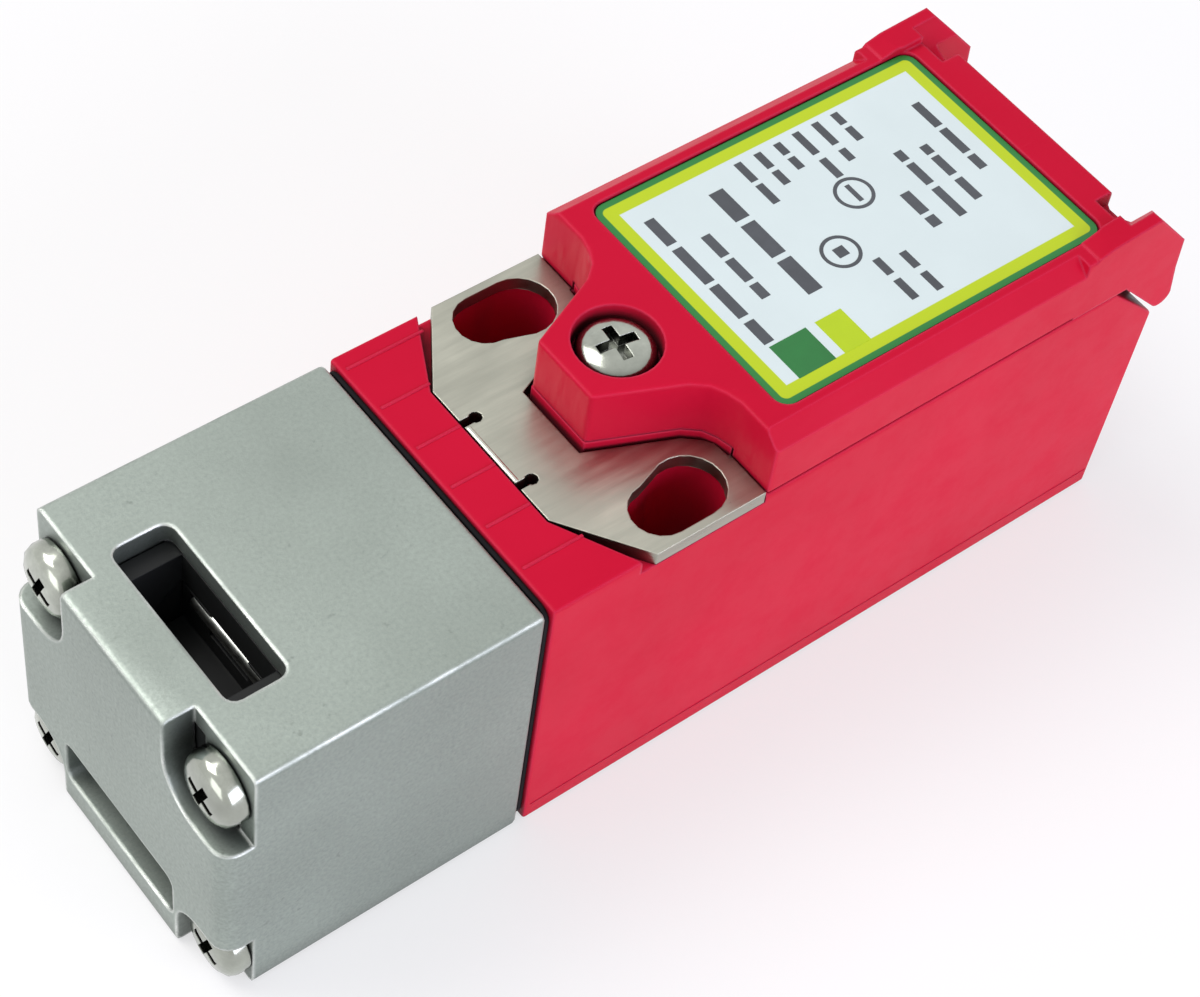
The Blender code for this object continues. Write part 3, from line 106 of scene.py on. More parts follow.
class Tree:
    """A material's node tree, with short calls that add a node and link its inputs."""

    def __init__(self, name):
        self.material = bpy.data.materials.new(name)
        self.material.use_nodes = True
        self.nodes = self.material.node_tree.nodes
        self.links = self.material.node_tree.links
        self.shader = self.nodes["Principled BSDF"]

    def add(self, kind, **values):
        node = self.nodes.new("ShaderNode" + kind)
        for key, value in values.items():
            setattr(node, key, value)
        return node

    def feed(self, socket, value):
        if isinstance(value, bpy.types.NodeSocket):
            self.links.new(value, socket)
        else:
            socket.default_value = value

    def math(self, operation, *values):
        node = self.add("Math", operation=operation)
        for socket, value in zip(node.inputs, values):
            self.feed(socket, value)
        return node.outputs[0]

    def place(self):
        return self.add("TexCoord").outputs["Object"]

    def stretched(self, scale):
        """Object coordinates scaled along each axis, for a grain with a direction."""
        mapping = self.add("Mapping")
        self.feed(mapping.inputs["Vector"], self.place())
        mapping.inputs["Scale"].default_value = scale
        return mapping.outputs[0]

    def noise(self, scale, detail=3.0, where=None, rough=0.55):
        node = self.add("TexNoise")
        self.feed(node.inputs["Vector"], where or self.place())
        node.inputs["Scale"].default_value = scale
        node.inputs["Detail"].default_value = detail
        node.inputs["Roughness"].default_value = rough
        return node.outputs[0]

    def ramp(self, factor, low, high, first=0.0, last=1.0):
        """A straight map of a value from low..high to first..last, clamped."""
        node = self.add("MapRange")
        names = ("Value", "From Min", "From Max", "To Min", "To Max")
        for name, value in zip(names, (factor, low, high, first, last)):
            self.feed(node.inputs[name], value)
        return node.outputs[0]

    def mix(self, factor, first, second):
        node = self.add("Mix", data_type="RGBA")
        self.feed(node.inputs["Factor"], factor)
        for socket, value in ((node.inputs[6], first), (node.inputs[7], second)):
            self.feed(socket, value if isinstance(value, bpy.types.NodeSocket) else (*value, 1))
        return node.outputs[2]

    def rounded(self, radius):
        """A normal that turns over a small radius at each sharp edge."""
        bevel = self.add("Bevel", samples=SHADER_SAMPLES)
        bevel.inputs["Radius"].default_value = radius
        return bevel.outputs[0]

    def bumped(self, height, strength, distance, normal=None):
        """Adds a bump of the given height to the surface, or to a rounded normal."""
        bump = self.add("Bump")
        bump.inputs["Strength"].default_value = strength
        bump.inputs["Distance"].default_value = distance
        self.feed(bump.inputs["Height"], height)
        if normal:
            self.feed(bump.inputs["Normal"], normal)
        self.links.new(bump.outputs[0], self.shader.inputs["Normal"])

    def edges(self, normal, reach):
        """Near 1 along sharp edges, from how far a rounded normal turns from the face's own."""
        dot = self.add("VectorMath", operation="DOT_PRODUCT")
        self.feed(dot.inputs[0], normal)
        self.feed(dot.inputs[1], self.add("NewGeometry").outputs["Normal"])
        return self.ramp(dot.outputs["Value"], 1.0 - reach, FLAT_DOT, 1.0, 0.0)

    def painted_hollow_shade(self, distance, open_at, most):
        """Painted shade: rises to its most in recesses and seams narrower than the distance, from
        ambient occlusion.
        """
        hidden = self.add("AmbientOcclusion", samples=SHADER_SAMPLES)
        hidden.inputs["Distance"].default_value = distance
        return self.ramp(hidden.outputs["AO"], SHUT_IN, open_at, most, 0.0)

    def finish(self, colour, rough, metal, base):
        """Feeds colour and roughness to the shader, and keeps a plain base colour on its socket."""
        self.shader.inputs["Base Color"].default_value = (*base, 1)
        self.shader.inputs["Metallic"].default_value = metal
        self.feed(self.shader.inputs["Base Color"], colour)
        self.feed(self.shader.inputs["Roughness"], rough)
        return self.material


def shade(colour, factor):
    return tuple(min(1.0, channel * factor) for channel in colour)


def plain(name, base, rough, bump=0.25, spread=0.12, edge=0.00018, specular=0.5):
    """A surface with cloudy tone, fine grain and uneven gloss."""
    tree = Tree(name)
    tree.shader.inputs["Specular IOR Level"].default_value = specular
    cloud = tree.noise(90.0, 4.0)
    fine = tree.noise(900.0, 5.0)
    tone = tree.mix(tree.ramp(cloud, 0.3, 0.7), shade(base, 1 - spread), shade(base, 1 + spread))
    tone = tree.mix(tree.ramp(fine, 0.35, 0.65, 0.0, 0.35), tone, shade(base, 1 - spread * 1.5))
    gloss = tree.ramp(tree.noise(260.0, 4.0), 0.3, 0.7, rough * 0.85, rough * 1.15)
    tree.bumped(fine, bump, 0.00003, tree.rounded(edge) if edge else None)
    return tree.finish(tone, gloss, 0.0, base)


def cast_metal():
    """Satin plated zinc: a blasted grain with dark specks, painted shade in recesses, and edges
    paler from wear and from a painted highlight.
    """
    tree = Tree("head_metal")
    cloud = tree.noise(60.0, 5.0)
    grain = tree.noise(3200.0, 6.0, rough=0.7)
    speck = tree.noise(1500.0, 3.0)
    tone = tree.mix(tree.ramp(cloud, 0.3, 0.7), shade(ZINC, 0.86), shade(ZINC, 1.1))
    tone = tree.mix(tree.ramp(grain, 0.35, 0.7, 0.0, 0.55), tone, shade(ZINC, 0.62))
    tone = tree.mix(tree.ramp(speck, 0.66, 0.78, 0.0, 0.5), tone, shade(ZINC, 0.45))
    # Painted shade: the zinc goes nearly black in recesses and seams, from ambient occlusion.
    tone = tree.mix(tree.painted_hollow_shade(0.0038, 0.82, 0.92), tone, shade(ZINC, 0.16))
    normal = tree.rounded(0.0004)
    patchy = tree.ramp(tree.noise(170.0, 3.0), 0.35, 0.6, 0.2, 1.0)
    # Paler, smoother edges: partly wear, partly a painted highlight.
    worn_and_highlight = tree.math("MULTIPLY", tree.edges(normal, 0.1), patchy)
    tone = tree.mix(worn_and_highlight, tone, RUBBED_ZINC_HIGHLIGHT)
    gloss = tree.ramp(worn_and_highlight, 0.0, 1.0, tree.ramp(grain, 0.3, 0.7, 0.36, 0.5), 0.25)
    tree.bumped(grain, 0.3, 0.00004, normal)
    return tree.finish(tone, gloss, 0.8, ZINC)


def brushed(name, base, rough, scale, stain=0.8, recess_shade_depth=0.98):
    """Metal with fine grinding lines along one axis, faint stains and painted shade in its
    recesses.
    """
    tree = Tree(name)
    lines = tree.noise(700.0, 5.0, where=tree.stretched(scale), rough=0.7)
    cloud = tree.noise(120.0, 3.0)
    tone = tree.mix(tree.ramp(lines, 0.3, 0.7), shade(base, 0.82), shade(base, 1.12))
    tone = tree.mix(tree.ramp(cloud, 0.42, 0.72, 0.0, 0.8), tone, shade(base, stain))
    # Painted shade: the metal goes dark in recesses and seams, from ambient occlusion.
    tone = tree.mix(tree.painted_hollow_shade(0.0024, 0.86, recess_shade_depth), tone, shade(base, 0.04))
    gloss = tree.ramp(lines, 0.3, 0.7, rough * 0.8, rough * 1.25)
    tree.bumped(lines, 0.15, 0.00002, tree.rounded(0.00012))
    return tree.finish(tone, gloss, 1.0, base)


def red_moulding():
    """Red moulding: orange peel, flow clouds, hairline scuffs, painted shade in hollows, painted
    edge highlight.
    """
    tree = Tree("red_plastic")
    cloud = tree.noise(38.0, 4.0)
    peel = tree.noise(520.0, 3.0)
    scuff = tree.noise(260.0, 4.0, where=tree.stretched((1.0, 9.0, 1.0)), rough=0.75)
    tone = tree.mix(tree.ramp(cloud, 0.3, 0.7), shade(RED, 0.93), RED_CLOUD)
    tone = tree.mix(tree.ramp(scuff, 0.66, 0.8, 0.0, 0.3), tone, RED_SCUFF)
    # Painted shade: the red goes dark brown in recesses and holes, from ambient occlusion.
    tone = tree.mix(tree.painted_hollow_shade(0.006, 0.5, 0.93), tone, RED_PAINTED_SHADE)
    normal = tree.rounded(0.0003)
    # Painted highlight: the red goes paler along its sharp edges.
    tone = tree.mix(tree.math("MULTIPLY", tree.edges(normal, 0.12), 0.45), tone, RED_EDGE_HIGHLIGHT)
    gloss = tree.ramp(scuff, 0.4, 0.75, 0.34, 0.48)
    tree.bumped(peel, 0.12, 0.00004, normal)
    tree.shader.inputs["Specular IOR Level"].default_value = 0.08
    return tree.finish(tone, gloss, 0.0, RED)


LABEL_FRONT_MM = 44.75
LABEL_REAR_MM = 73.95
LABEL_HALF_MM = 10.4
LABEL_CORNER_MM = 1.0
GREEN_BAND_MM = 0.5
LIME_BAND_MM = 0.95
BAND_BLUR_MM = 0.03


def label_film():
    """Pale film with a dark green band round a lime one, drawn by distance from its edge."""
    tree = Tree("label_film")
    parts = tree.add("SeparateXYZ")
    tree.feed(parts.inputs[0], tree.place())
    middle = ((LABEL_FRONT_MM + LABEL_REAR_MM) / 2 - ORIGIN_X_MM) * MM
    half_length = (LABEL_REAR_MM - LABEL_FRONT_MM) / 2
    reaches = []
    for axis, offset, reach in ((0, middle, half_length), (1, 0.0, LABEL_HALF_MM)):
        centred = tree.math("ABSOLUTE", tree.math("SUBTRACT", parts.outputs[axis], offset))
        reaches.append(tree.math("SUBTRACT", centred, (reach - LABEL_CORNER_MM) * MM))
    outside = [tree.math("MAXIMUM", reach, 0.0) for reach in reaches]
    squares = [tree.math("MULTIPLY", value, value) for value in outside]
    corner = tree.math("SQRT", tree.math("ADD", *squares))
    inside = tree.math("MINIMUM", tree.math("MAXIMUM", *reaches), 0.0)
    inset = tree.math("SUBTRACT", LABEL_CORNER_MM * MM, tree.math("ADD", corner, inside))
    soft = BAND_BLUR_MM * MM
    cloud = tree.ramp(tree.noise(140.0, 3.0), 0.3, 0.7)
    paper = tree.mix(cloud, shade(LABEL_PAPER, 0.97), shade(LABEL_PAPER, 1.02))
    lime_end = (GREEN_BAND_MM + LIME_BAND_MM) * MM
    tone = tree.mix(tree.ramp(inset, lime_end - soft, lime_end + soft), LABEL_LIME, paper)
    green_end = GREEN_BAND_MM * MM
    tone = tree.mix(tree.ramp(inset, green_end - soft, green_end + soft), LABEL_GREEN, tone)
    gloss = tree.ramp(tree.noise(300.0, 4.0), 0.3, 0.7, 0.3, 0.42)
    tree.bumped(tree.noise(700.0, 3.0), 0.05, 0.00002)
    return tree.finish(tone, gloss, 0.0, LABEL_PAPER)


MATERIALS = {
    "head_metal": cast_metal(),
    "screw_steel": brushed("screw_steel", (0.50, 0.525, 0.465), 0.17, EVEN_GRAIN, stain=0.55),
    "plate_steel": brushed("plate_steel", (0.44, 0.44, 0.375), 0.32, GRAIN_ALONG_X),
    "red_plastic": red_moulding(),
    "black_plastic": plain("black_plastic", (0.014, 0.015, 0.015), 0.45, specular=0.22),
    "pale_plastic": plain("pale_plastic", (0.70, 0.69, 0.64), 0.42, spread=0.06),
    "seal_rubber": plain("seal_rubber", (0.010, 0.010, 0.011), 0.75, bump=0.4, specular=0.1),
    "insert_brass": brushed("insert_brass", (0.70, 0.52, 0.22), 0.3, GRAIN_ALONG_Z),
    "contact_brass": brushed("contact_brass", (0.70, 0.45, 0.22), 0.28, GRAIN_ALONG_Y),
    "label_film": label_film(),
}
# A paler, less shaded copy of the plate steel, which paints the highlight on the plate's front
# bend.
PLATE_BEND_HIGHLIGHT_STEEL = brushed("plate_bend_highlight_steel", (0.66, 0.68, 0.60), 0.25, GRAIN_ALONG_Y, recess_shade_depth=0.3)
# A paler copy of the screw steel with less painted recess shade, which paints the highlight on the
# cam pins.
PIN_HIGHLIGHT_STEEL = brushed("pin_highlight_steel", (0.62, 0.64, 0.60), 0.3, EVEN_GRAIN, recess_shade_depth=0.5)
OWN_LOOKS = {"cam_pin_1": PIN_HIGHLIGHT_STEEL, "cam_pin_2": PIN_HIGHLIGHT_STEEL}
INK = plain("ink", (0.06, 0.066, 0.075), 0.4, spread=0.2, edge=None)
GREEN_INK = plain("green_ink", (0.012, 0.16, 0.03), 0.4, edge=None)
LIME_INK = plain("lime_ink", (0.46, 0.62, 0.004), 0.4, spread=0.08, edge=None)
DOMED = ("head_screw_1", "head_screw_2", "head_screw_3", "head_screw_4", "cover_screw")


def smooth_shading(obj):
    """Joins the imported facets' corners for shading only, and keeps real edges crisp."""
    mesh = obj.data
    if "custom_normal" in mesh.attributes:
        mesh.attributes.remove(mesh.attributes["custom_normal"])
    mesh.shade_smooth()
    weld = obj.modifiers.new("weld", "WELD")
    weld.merge_threshold = WELD
    split = obj.modifiers.new("split", "EDGE_SPLIT")
    split.split_angle = ROUND_ANGLE if obj.name in DOMED else SMOOTH_ANGLE
    even = obj.modifiers.new("even", "WEIGHTED_NORMAL")
    even.keep_sharp = True


def paint_nodes():
    for row in frame["record"]["subparts"]:
        obj = frame["nodes"][row["node"]]
        material = OWN_LOOKS.get(row["node"], MATERIALS[row["material_slot"]])
        obj.data.materials.clear()
        obj.data.materials.append(material)
        for polygon in obj.data.polygons:
            polygon.material_index = 0
        smooth_shading(obj)


# Small pieces

SINK_MM = 0.05
AXES = {
    "x": Matrix(((0, 0, 1, 0), (1, 0, 0, 0), (0, 1, 0, 0), (0, 0, 0, 1))),
    "z": Matrix.Identity(4),
}


def piece(name, bm, body, slot, material=None):
    """Turns a bmesh into an object that rides on a body, in its slot's look or one of its own."""
    mesh = bpy.data.meshes.new(name)
    bm.to_mesh(mesh)
    bm.free()
    made = bpy.data.objects.new(name, mesh)
    bpy.context.scene.collection.objects.link(made)
    mesh.shade_smooth()
    mesh.set_sharp_from_angle(angle=SMOOTH_ANGLE)
    mesh.materials.append(material or MATERIALS[slot])
    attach(made, body)
    return made


def add_box(bm, low, high):
    """A box between two corners, in millimetres."""
    low, high = at(*low), at(*high)
    place = Matrix.Translation((low + high) / 2) @ Matrix.Diagonal((*(high - low), 1))
    bmesh.ops.create_cube(bm, size=1, matrix=place)


def add_turned(bm, profile, axis, start, sides, rise=0.0, turns=1):
    """Sweeps a closed (radius, height) profile round an axis, rising each turn for a thread."""
    place = Matrix.Translation(at(*start)) @ AXES[axis]
    steps = int(sides * turns)
    rings = []
    for step in range(steps + (1 if rise else 0)):
        angle = math.tau * step / sides
        lift = rise * step / sides
        corners = [
            Vector((r * MM * math.cos(angle), r * MM * math.sin(angle), (h + lift) * MM))
            for r, h in profile
        ]
        rings.append([bm.verts.new(place @ corner) for corner in corners])
    count = len(profile)
    pairs = list(zip(rings, rings[1:])) + ([] if rise else [(rings[-1], rings[0])])
    for first, second in pairs:
        for index in range(count):
            after = (index + 1) % count
            bm.faces.new((first[index], second[index], second[after], first[after]))
    if rise:
        bm.faces.new(rings[0])
        bm.faces.new(list(reversed(rings[-1])))


def soften(obj, width_mm, segments):
    soft = obj.modifiers.new("soft", "BEVEL")
    soft.width = width_mm * MM
    soft.segments = segments


COLLAR_FRONT_MM = 25.3
COLLAR_REAR_MM = 28.9
NECK_HALF_MM = 6.4
FLANK_SLOPE = 0.58
COLLAR_LINES_Y_MM = (11.1, 7.1, 3.05, -0.8, -4.65, -8.6)
LINE_HALF_MM = 0.12
LINE_RISE_MM = 0.08


def collar_lines():
    """The low moulded steps that run along the top of the box's collar."""
    bm = bmesh.new()
    for y in COLLAR_LINES_Y_MM:
        rear = COLLAR_REAR_MM + max(0.0, abs(y) - NECK_HALF_MM) * FLANK_SLOPE
        add_box(
            bm, (COLLAR_FRONT_MM, y - LINE_HALF_MM, HEIGHT_MM - SINK_MM),
            (rear, y + LINE_HALF_MM, HEIGHT_MM + LINE_RISE_MM),
        )
    soften(piece("collar_lines", bm, "case", "red_plastic"), 0.05, segments=2)


PLATE_FRONT_MM = 29.05
BEND_HALF_MM = 2.75
BEND_REACH_MM = (-0.02, 0.4)
BEND_Z_MM = (HEIGHT_MM - 0.3, HEIGHT_MM + 0.05)


def plate_bend():
    """The rounded bend of the plate's front edge, between its two relief notches, in a paler steel
    that paints its highlight.
    """
    bm = bmesh.new()
    front, rear = (PLATE_FRONT_MM + reach for reach in BEND_REACH_MM)
    add_box(bm, (front, -BEND_HALF_MM, BEND_Z_MM[0]), (rear, BEND_HALF_MM, BEND_Z_MM[1]))
    soften(piece("plate_bend", bm, "case", "plate_steel", PLATE_BEND_HIGHLIGHT_STEEL), 0.15, segments=4)


PRINT_LOW_MM = 29.99
PRINT_TOP_MM = 30.012
BAR_WEIGHT = 0.86
# Each row: its x, its thickness, and each bar's middle y and length.
PRINT_ROWS_MM = (
    (47.6, 1.0, ((6.2, 2.6), (2.6, 3.6), (-1.2, 3.2), (-4.4, 2.2))),
    (50.0, 0.9, ((3.2, 2.2), (0.6, 2.2), (-1.6, 1.4))),
    (53.2, 1.45, ((5.6, 3.0), (1.9, 3.4), (-2.0, 3.4))),
    (56.2, 0.75, ((7.4, 2.0), (5.0, 2.0))),
    (58.0, 0.75, ((7.6, 1.6), (5.7, 1.4))),
    (59.8, 0.75, ((7.8, 1.2), (6.2, 1.2))),
    (61.6, 0.75, ((7.3, 2.4), (4.5, 2.0))),
    (63.4, 0.75, ((7.3, 2.4), (4.9, 1.2))),
    (65.2, 0.75, ((7.9, 1.2), (6.2, 1.4))),
    (58.6, 0.75, ((-6.9, 2.0), (-4.5, 1.6))),
    (60.6, 0.75, ((-7.3, 1.8), (-5.0, 1.6))),
    (64.4, 1.0, ((-1.2, 2.2), (-3.2, 1.0))),
    (66.6, 0.85, ((-2.4, 3.0), (0.7, 2.2), (2.7, 1.0))),
    (68.6, 0.85, ((-2.2, 2.2), (0.4, 2.0), (2.2, 0.9))),
    (70.9, 0.85, ((4.8, 2.6), (1.8, 2.6), (-0.6, 1.4))),
)
# Each ring: its x and y, and the length and thickness of the bar inside it.
RINGS_MM = ((57.0, -1.9, 0.9, 0.9), (61.4, 1.8, 1.7, 0.4))
RING_OUTER_MM = 1.5
RING_INNER_MM = 1.22
FIELD_Y_MM = (-9.0, -5.8)
FIELDS = (
    ("label_green_field", (47.3, 50.5), GREEN_INK),
    ("label_lime_field", (51.3, 53.6), LIME_INK),
)


def add_bar(bm, x, y, length, thick):
    add_box(
        bm, (x - thick / 2, y - length / 2, PRINT_LOW_MM),
        (x + thick / 2, y + length / 2, PRINT_TOP_MM),
    )


def label_print():
    """Print that says nothing: bars where lines stood, two rings, and two fields of colour."""
    bm = bmesh.new()
    for x, thick, bars in PRINT_ROWS_MM:
        for y, length in bars:
            add_bar(bm, x, y, length, thick * BAR_WEIGHT)
    piece("label_print", bm, "lid", "label_film", INK)
    rise = PRINT_TOP_MM - PRINT_LOW_MM
    profile = [
        (RING_OUTER_MM, rise), (RING_OUTER_MM, 0.0), (RING_INNER_MM, 0.0), (RING_INNER_MM, rise)
    ]
    rings = bmesh.new()
    for x, y, length, thick in RINGS_MM:
        add_turned(rings, profile, "z", (x, y, PRINT_LOW_MM), sides=40)
        add_bar(rings, x, y, length, thick)
    piece("label_rings", rings, "lid", "label_film", INK)
    for name, (front, rear), ink in FIELDS:
        field = bmesh.new()
        add_box(field, (front, FIELD_Y_MM[0], PRINT_LOW_MM), (rear, FIELD_Y_MM[1], PRINT_TOP_MM))
        piece(name, field, "lid", "label_film", ink)


def ridge(root, crest, flank, flat):
    """A thread's section from its root radius to its crest and back, as (radius, height)."""
    return [(root, 0.0), (crest, flank), (crest, flank + flat), (root, 2 * flank + flat)]


CONDUIT_START_MM = (74.2, 0, 10.5)
CONDUIT_PITCH_MM = 1.5
CONDUIT_TURNS = 2.7


def conduit_thread():
    """The gland thread inside the end entry."""
    bm = bmesh.new()
    profile = ridge(root=7.75, crest=7.15, flank=0.45, flat=0.15)
    add_turned(
        bm, profile, "x", CONDUIT_START_MM, sides=64, rise=CONDUIT_PITCH_MM, turns=CONDUIT_TURNS
    )
    piece("conduit_thread", bm, "case", "red_plastic")


LID_SCREW_START_MM = (39.05, 0, 19.6)
LID_SCREW_PITCH_MM = 0.5
LID_SCREW_TURNS = 9


def lid_screw_thread():
    """The thread on the lid screw's shank, seen when the lid is open."""
    bm = bmesh.new()
    profile = ridge(root=1.28, crest=1.52, flank=0.22, flat=0.06)
    add_turned(
        bm, profile, "z", LID_SCREW_START_MM, sides=20, rise=LID_SCREW_PITCH_MM,
        turns=LID_SCREW_TURNS,
    )
    piece("cover_screw_thread", bm, "lid", "screw_steel")


EJECTORS_MM = ((29.5, 0.0), (48.0, -8.6), (48.0, 8.6), (72.0, -8.6), (72.0, 8.6))
EJECTOR_PROFILE_MM = [(1.9, 0.04), (1.9, -0.03), (1.7, -0.03), (1.7, 0.04)]
GATE_MM = (60.0, 0, 0.0)
GATE_PROFILE_MM = [(0.45, 0.05), (0.6, -0.04), (0.2, -0.04), (0.2, 0.05)]


def underside_marks():
    """Shallow ejector rings and a gate point on the base."""
    bm = bmesh.new()
    for x, y in EJECTORS_MM:
        add_turned(bm, EJECTOR_PROFILE_MM, "z", (x, y, 0.0), sides=32)
    add_turned(bm, GATE_PROFILE_MM, "z", GATE_MM, sides=20)
    piece("underside_marks", bm, "case", "red_plastic")


RIB_HALF_MM = 0.4
LID_INSIDE_X_MM = (44.5, 73.4)
LID_INSIDE_HALF_MM = 10.3
CROSS_RIBS_X_MM = (51.5, 59.0, 66.5)
CROSS_RIB_Z_MM = (27.5, 28.5)
LONG_RIBS_Y_MM = (-5.2, 5.2)
LONG_RIB_Z_MM = (27.7, 28.5)


def lid_ribs():
    """Stiffening ribs under the lid's top, seen when it is open."""
    bm = bmesh.new()
    low, high = CROSS_RIB_Z_MM
    for x in CROSS_RIBS_X_MM:
        add_box(
            bm, (x - RIB_HALF_MM, -LID_INSIDE_HALF_MM, low),
            (x + RIB_HALF_MM, LID_INSIDE_HALF_MM, high),
        )
    low, high = LONG_RIB_Z_MM
    front, rear = LID_INSIDE_X_MM
    for y in LONG_RIBS_Y_MM:
        add_box(bm, (front, y - RIB_HALF_MM, low), (rear, y + RIB_HALF_MM, high))
    piece("lid_ribs", bm, "lid", "red_plastic")


CHAMBER_WALL_MM = 10.5
CHAMBER_RIB_FACE_MM = 10.05
CHAMBER_RIBS_X_MM = (66.5, 70.0)
CHAMBER_RIB_Z_MM = (3.0, 22.0)


def chamber_ribs():
    """Low ribs on the side walls of the wiring chamber, near its rear."""
    bm = bmesh.new()
    low, high = CHAMBER_RIB_Z_MM
    for side in (-1, 1):
        right, left = sorted((side * CHAMBER_WALL_MM, side * CHAMBER_RIB_FACE_MM))
        for x in CHAMBER_RIBS_X_MM:
            add_box(bm, (x - RIB_HALF_MM, right, low), (x + RIB_HALF_MM, left, high))
    piece("chamber_ribs", bm, "case", "red_plastic")


MOULD_LINE_X_MM = (25.4, 79.4)
MOULD_LINE_Z_MM = (1.55, 1.63)
MOULD_LINE_SINK_MM = 0.04
MOULD_LINE_RISE_MM = 0.035
END_LINE_X_MM = (79.6, 79.735)
END_LINE_HALF_MM = 12.1


def mould_line():
    """The thin parting line that the mould leaves along the box's sides and end wall."""
    bm = bmesh.new()
    low, high = MOULD_LINE_Z_MM
    front, rear = MOULD_LINE_X_MM
    for side in (-1, 1):
        right, left = sorted(
            (side * (HALF_MM - MOULD_LINE_SINK_MM), side * (HALF_MM + MOULD_LINE_RISE_MM))
        )
        add_box(bm, (front, right, low), (rear, left, high))
    front, rear = END_LINE_X_MM
    add_box(bm, (front, -END_LINE_HALF_MM, low), (rear, END_LINE_HALF_MM, high))
    piece("mould_line", bm, "case", "red_plastic")


# Surroundings

FLOOR_HALF = 3.0
FLOOR_DROP = 0.00005
FLOOR_TONE = (0.93, 0.93, 0.93)
FLOOR_GLOW = 0.6
FLOOR_FADE = (0.12, 0.6)
AMBIENT_COLOUR = (0.92, 0.92, 1.0, 1)
AMBIENT_STRENGTH = 0.43


def seen_directly(nodes, links):
    """1 for rays from the camera and for those that gloss or glass sends on, 0 for light's own."""
    rays = nodes.new("ShaderNodeLightPath")
    total = rays.outputs["Is Camera Ray"]
    for name in ("Is Glossy Ray", "Is Transmission Ray"):
        either = nodes.new("ShaderNodeMath")
        either.operation = "MAXIMUM"
        links.new(total, either.inputs[0])
        links.new(rays.outputs[name], either.inputs[1])
        total = either.outputs[0]
    return total


def floor_look():
    """Pale matt floor that fades into the white background with distance."""
    tree = Tree("floor")
    cloud = tree.ramp(tree.noise(6.0, 3.0), 0.3, 0.7)
    tone = tree.mix(cloud, shade(FLOOR_TONE, 0.99), shade(FLOOR_TONE, 1.01))
    material = tree.finish(tone, 0.8, 0.0, FLOOR_TONE)
    glow = tree.add("Emission")
    mixer = tree.add("MixShader")
    seen = seen_directly(tree.nodes, tree.links)
    away = tree.add("VectorMath", operation="LENGTH")
    tree.feed(away.inputs[0], tree.place())
    glowing = tree.ramp(away.outputs["Value"], *FLOOR_FADE, FLOOR_GLOW, 1.0)
    tree.feed(mixer.inputs[0], tree.math("MULTIPLY", seen, glowing))
    tree.feed(mixer.inputs[1], tree.shader.outputs[0])
    tree.feed(mixer.inputs[2], glow.outputs[0])
    tree.feed(tree.nodes["Material Output"].inputs["Surface"], mixer.outputs[0])
    return material


def stage_floor():
    bm = bmesh.new()
    bmesh.ops.create_grid(bm, x_segments=1, y_segments=1, size=FLOOR_HALF)
    mesh = bpy.data.meshes.new("floor")
    bm.to_mesh(mesh)
    bm.free()
    mesh.materials.append(floor_look())
    floor = bpy.data.objects.new("floor", mesh)
    bpy.context.scene.collection.objects.link(floor)
    floor.location = (0, 0, CAD_BOUNDS[0][2] - FLOOR_DROP)


def world_light():
    """White where the camera and reflections look, and a softer sky for everything else."""
    world = bpy.data.worlds.new("studio")
    bpy.context.scene.world = world
    world.use_nodes = True
    nodes, links = world.node_tree.nodes, world.node_tree.links
    output = nodes["World Output"]
    ambient = nodes["Background"]
    ambient.inputs["Color"].default_value = AMBIENT_COLOUR
    ambient.inputs["Strength"].default_value = AMBIENT_STRENGTH
    white = nodes.new("ShaderNodeBackground")
    white.inputs["Color"].default_value = (1, 1, 1, 1)
    white.inputs["Strength"].default_value = 1.0
    mixer = nodes.new("ShaderNodeMixShader")
    links.new(seen_directly(nodes, links), mixer.inputs[0])
    links.new(ambient.outputs[0], mixer.inputs[1])
    links.new(white.outputs[0], mixer.inputs[2])
    links.new(mixer.outputs[0], output.inputs["Surface"])


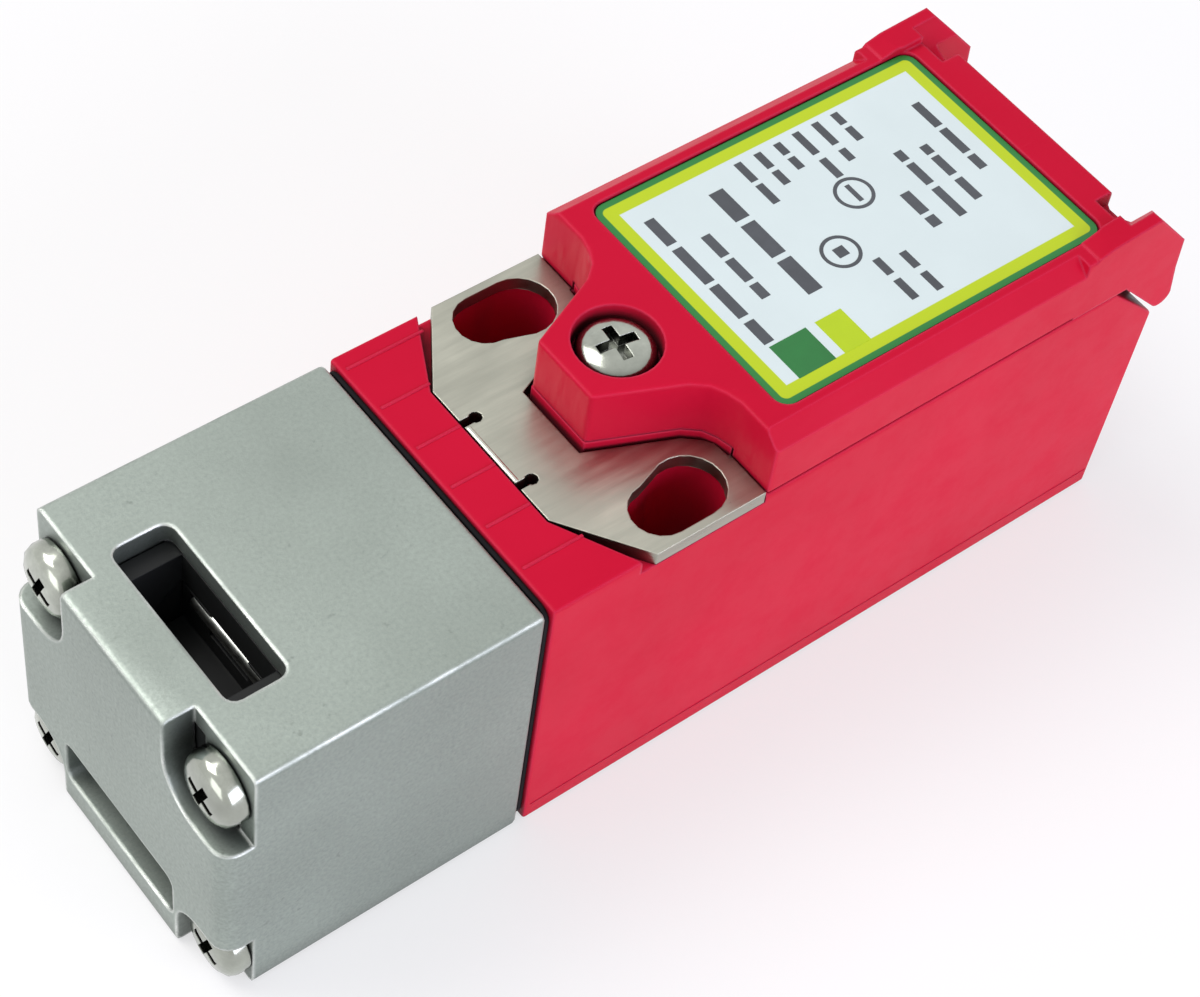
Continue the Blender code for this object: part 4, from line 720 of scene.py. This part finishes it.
# Each light: its name, place, width and depth, power in watts and colour.
LIGHTS = (
    ("key", (-0.25, 0.35, 0.65), (0.5, 0.5), 4.0, (1.0, 0.98, 0.96)),
    ("side", (0.10, -0.60, 0.22), (0.6, 0.35), 3.1, (0.82, 0.82, 1.0)),
    ("front", (-0.60, -0.10, 0.20), (0.4, 0.4), 0.8, (1.0, 1.0, 1.0)),
)
LIT_PLACE = Vector((0, 0, 0.01))


def area_lights():
    for name, place, size, power, colour in LIGHTS:
        data = bpy.data.lights.new(name, "AREA")
        data.shape = "RECTANGLE"
        data.size, data.size_y = size
        data.energy = power
        data.color = colour
        light = bpy.data.objects.new(name, data)
        bpy.context.scene.collection.objects.link(light)
        light.location = place
        light.rotation_euler = (LIT_PLACE - Vector(place)).to_track_quat("-Z", "Y").to_euler()


FOCAL_PX = 2934.27
IMAGE_PX = 1200.0
SENSOR_MM = 36.0
CLIP_START = 0.01
CLIP_END = 20
EYE = Vector((-0.0890483, -0.0897512, 0.1758306))
RIGHT = Vector((0.786743, -0.608962, 0.100999))
UP = Vector((0.436335, 0.664364, 0.606822))
AHEAD = Vector((0.436631, 0.433344, -0.788395))


def camera():
    """A camera at the photo's place and angle."""
    data = bpy.data.cameras.new("camera")
    data.sensor_width = SENSOR_MM
    data.sensor_fit = "HORIZONTAL"
    data.lens = FOCAL_PX / IMAGE_PX * SENSOR_MM
    data.clip_start = CLIP_START
    data.clip_end = CLIP_END
    made = bpy.data.objects.new("camera", data)
    bpy.context.scene.collection.objects.link(made)
    turn = Matrix((RIGHT, UP, -AHEAD)).transposed().to_4x4()
    made.matrix_world = Matrix.Translation(EYE) @ turn
    bpy.context.scene.camera = made


def main():
    scene = bpy.context.scene
    for obj in [o for o in scene.objects if o.type in ("CAMERA", "LIGHT") or o.name == "Cube"]:
        bpy.data.objects.remove(obj)
    scene.view_settings.view_transform = "Standard"
    paint_nodes()
    collar_lines()
    plate_bend()
    label_print()
    conduit_thread()
    lid_screw_thread()
    underside_marks()
    lid_ribs()
    chamber_ribs()
    mould_line()
    stage_floor()
    world_light()
    area_lights()
    camera()


main()
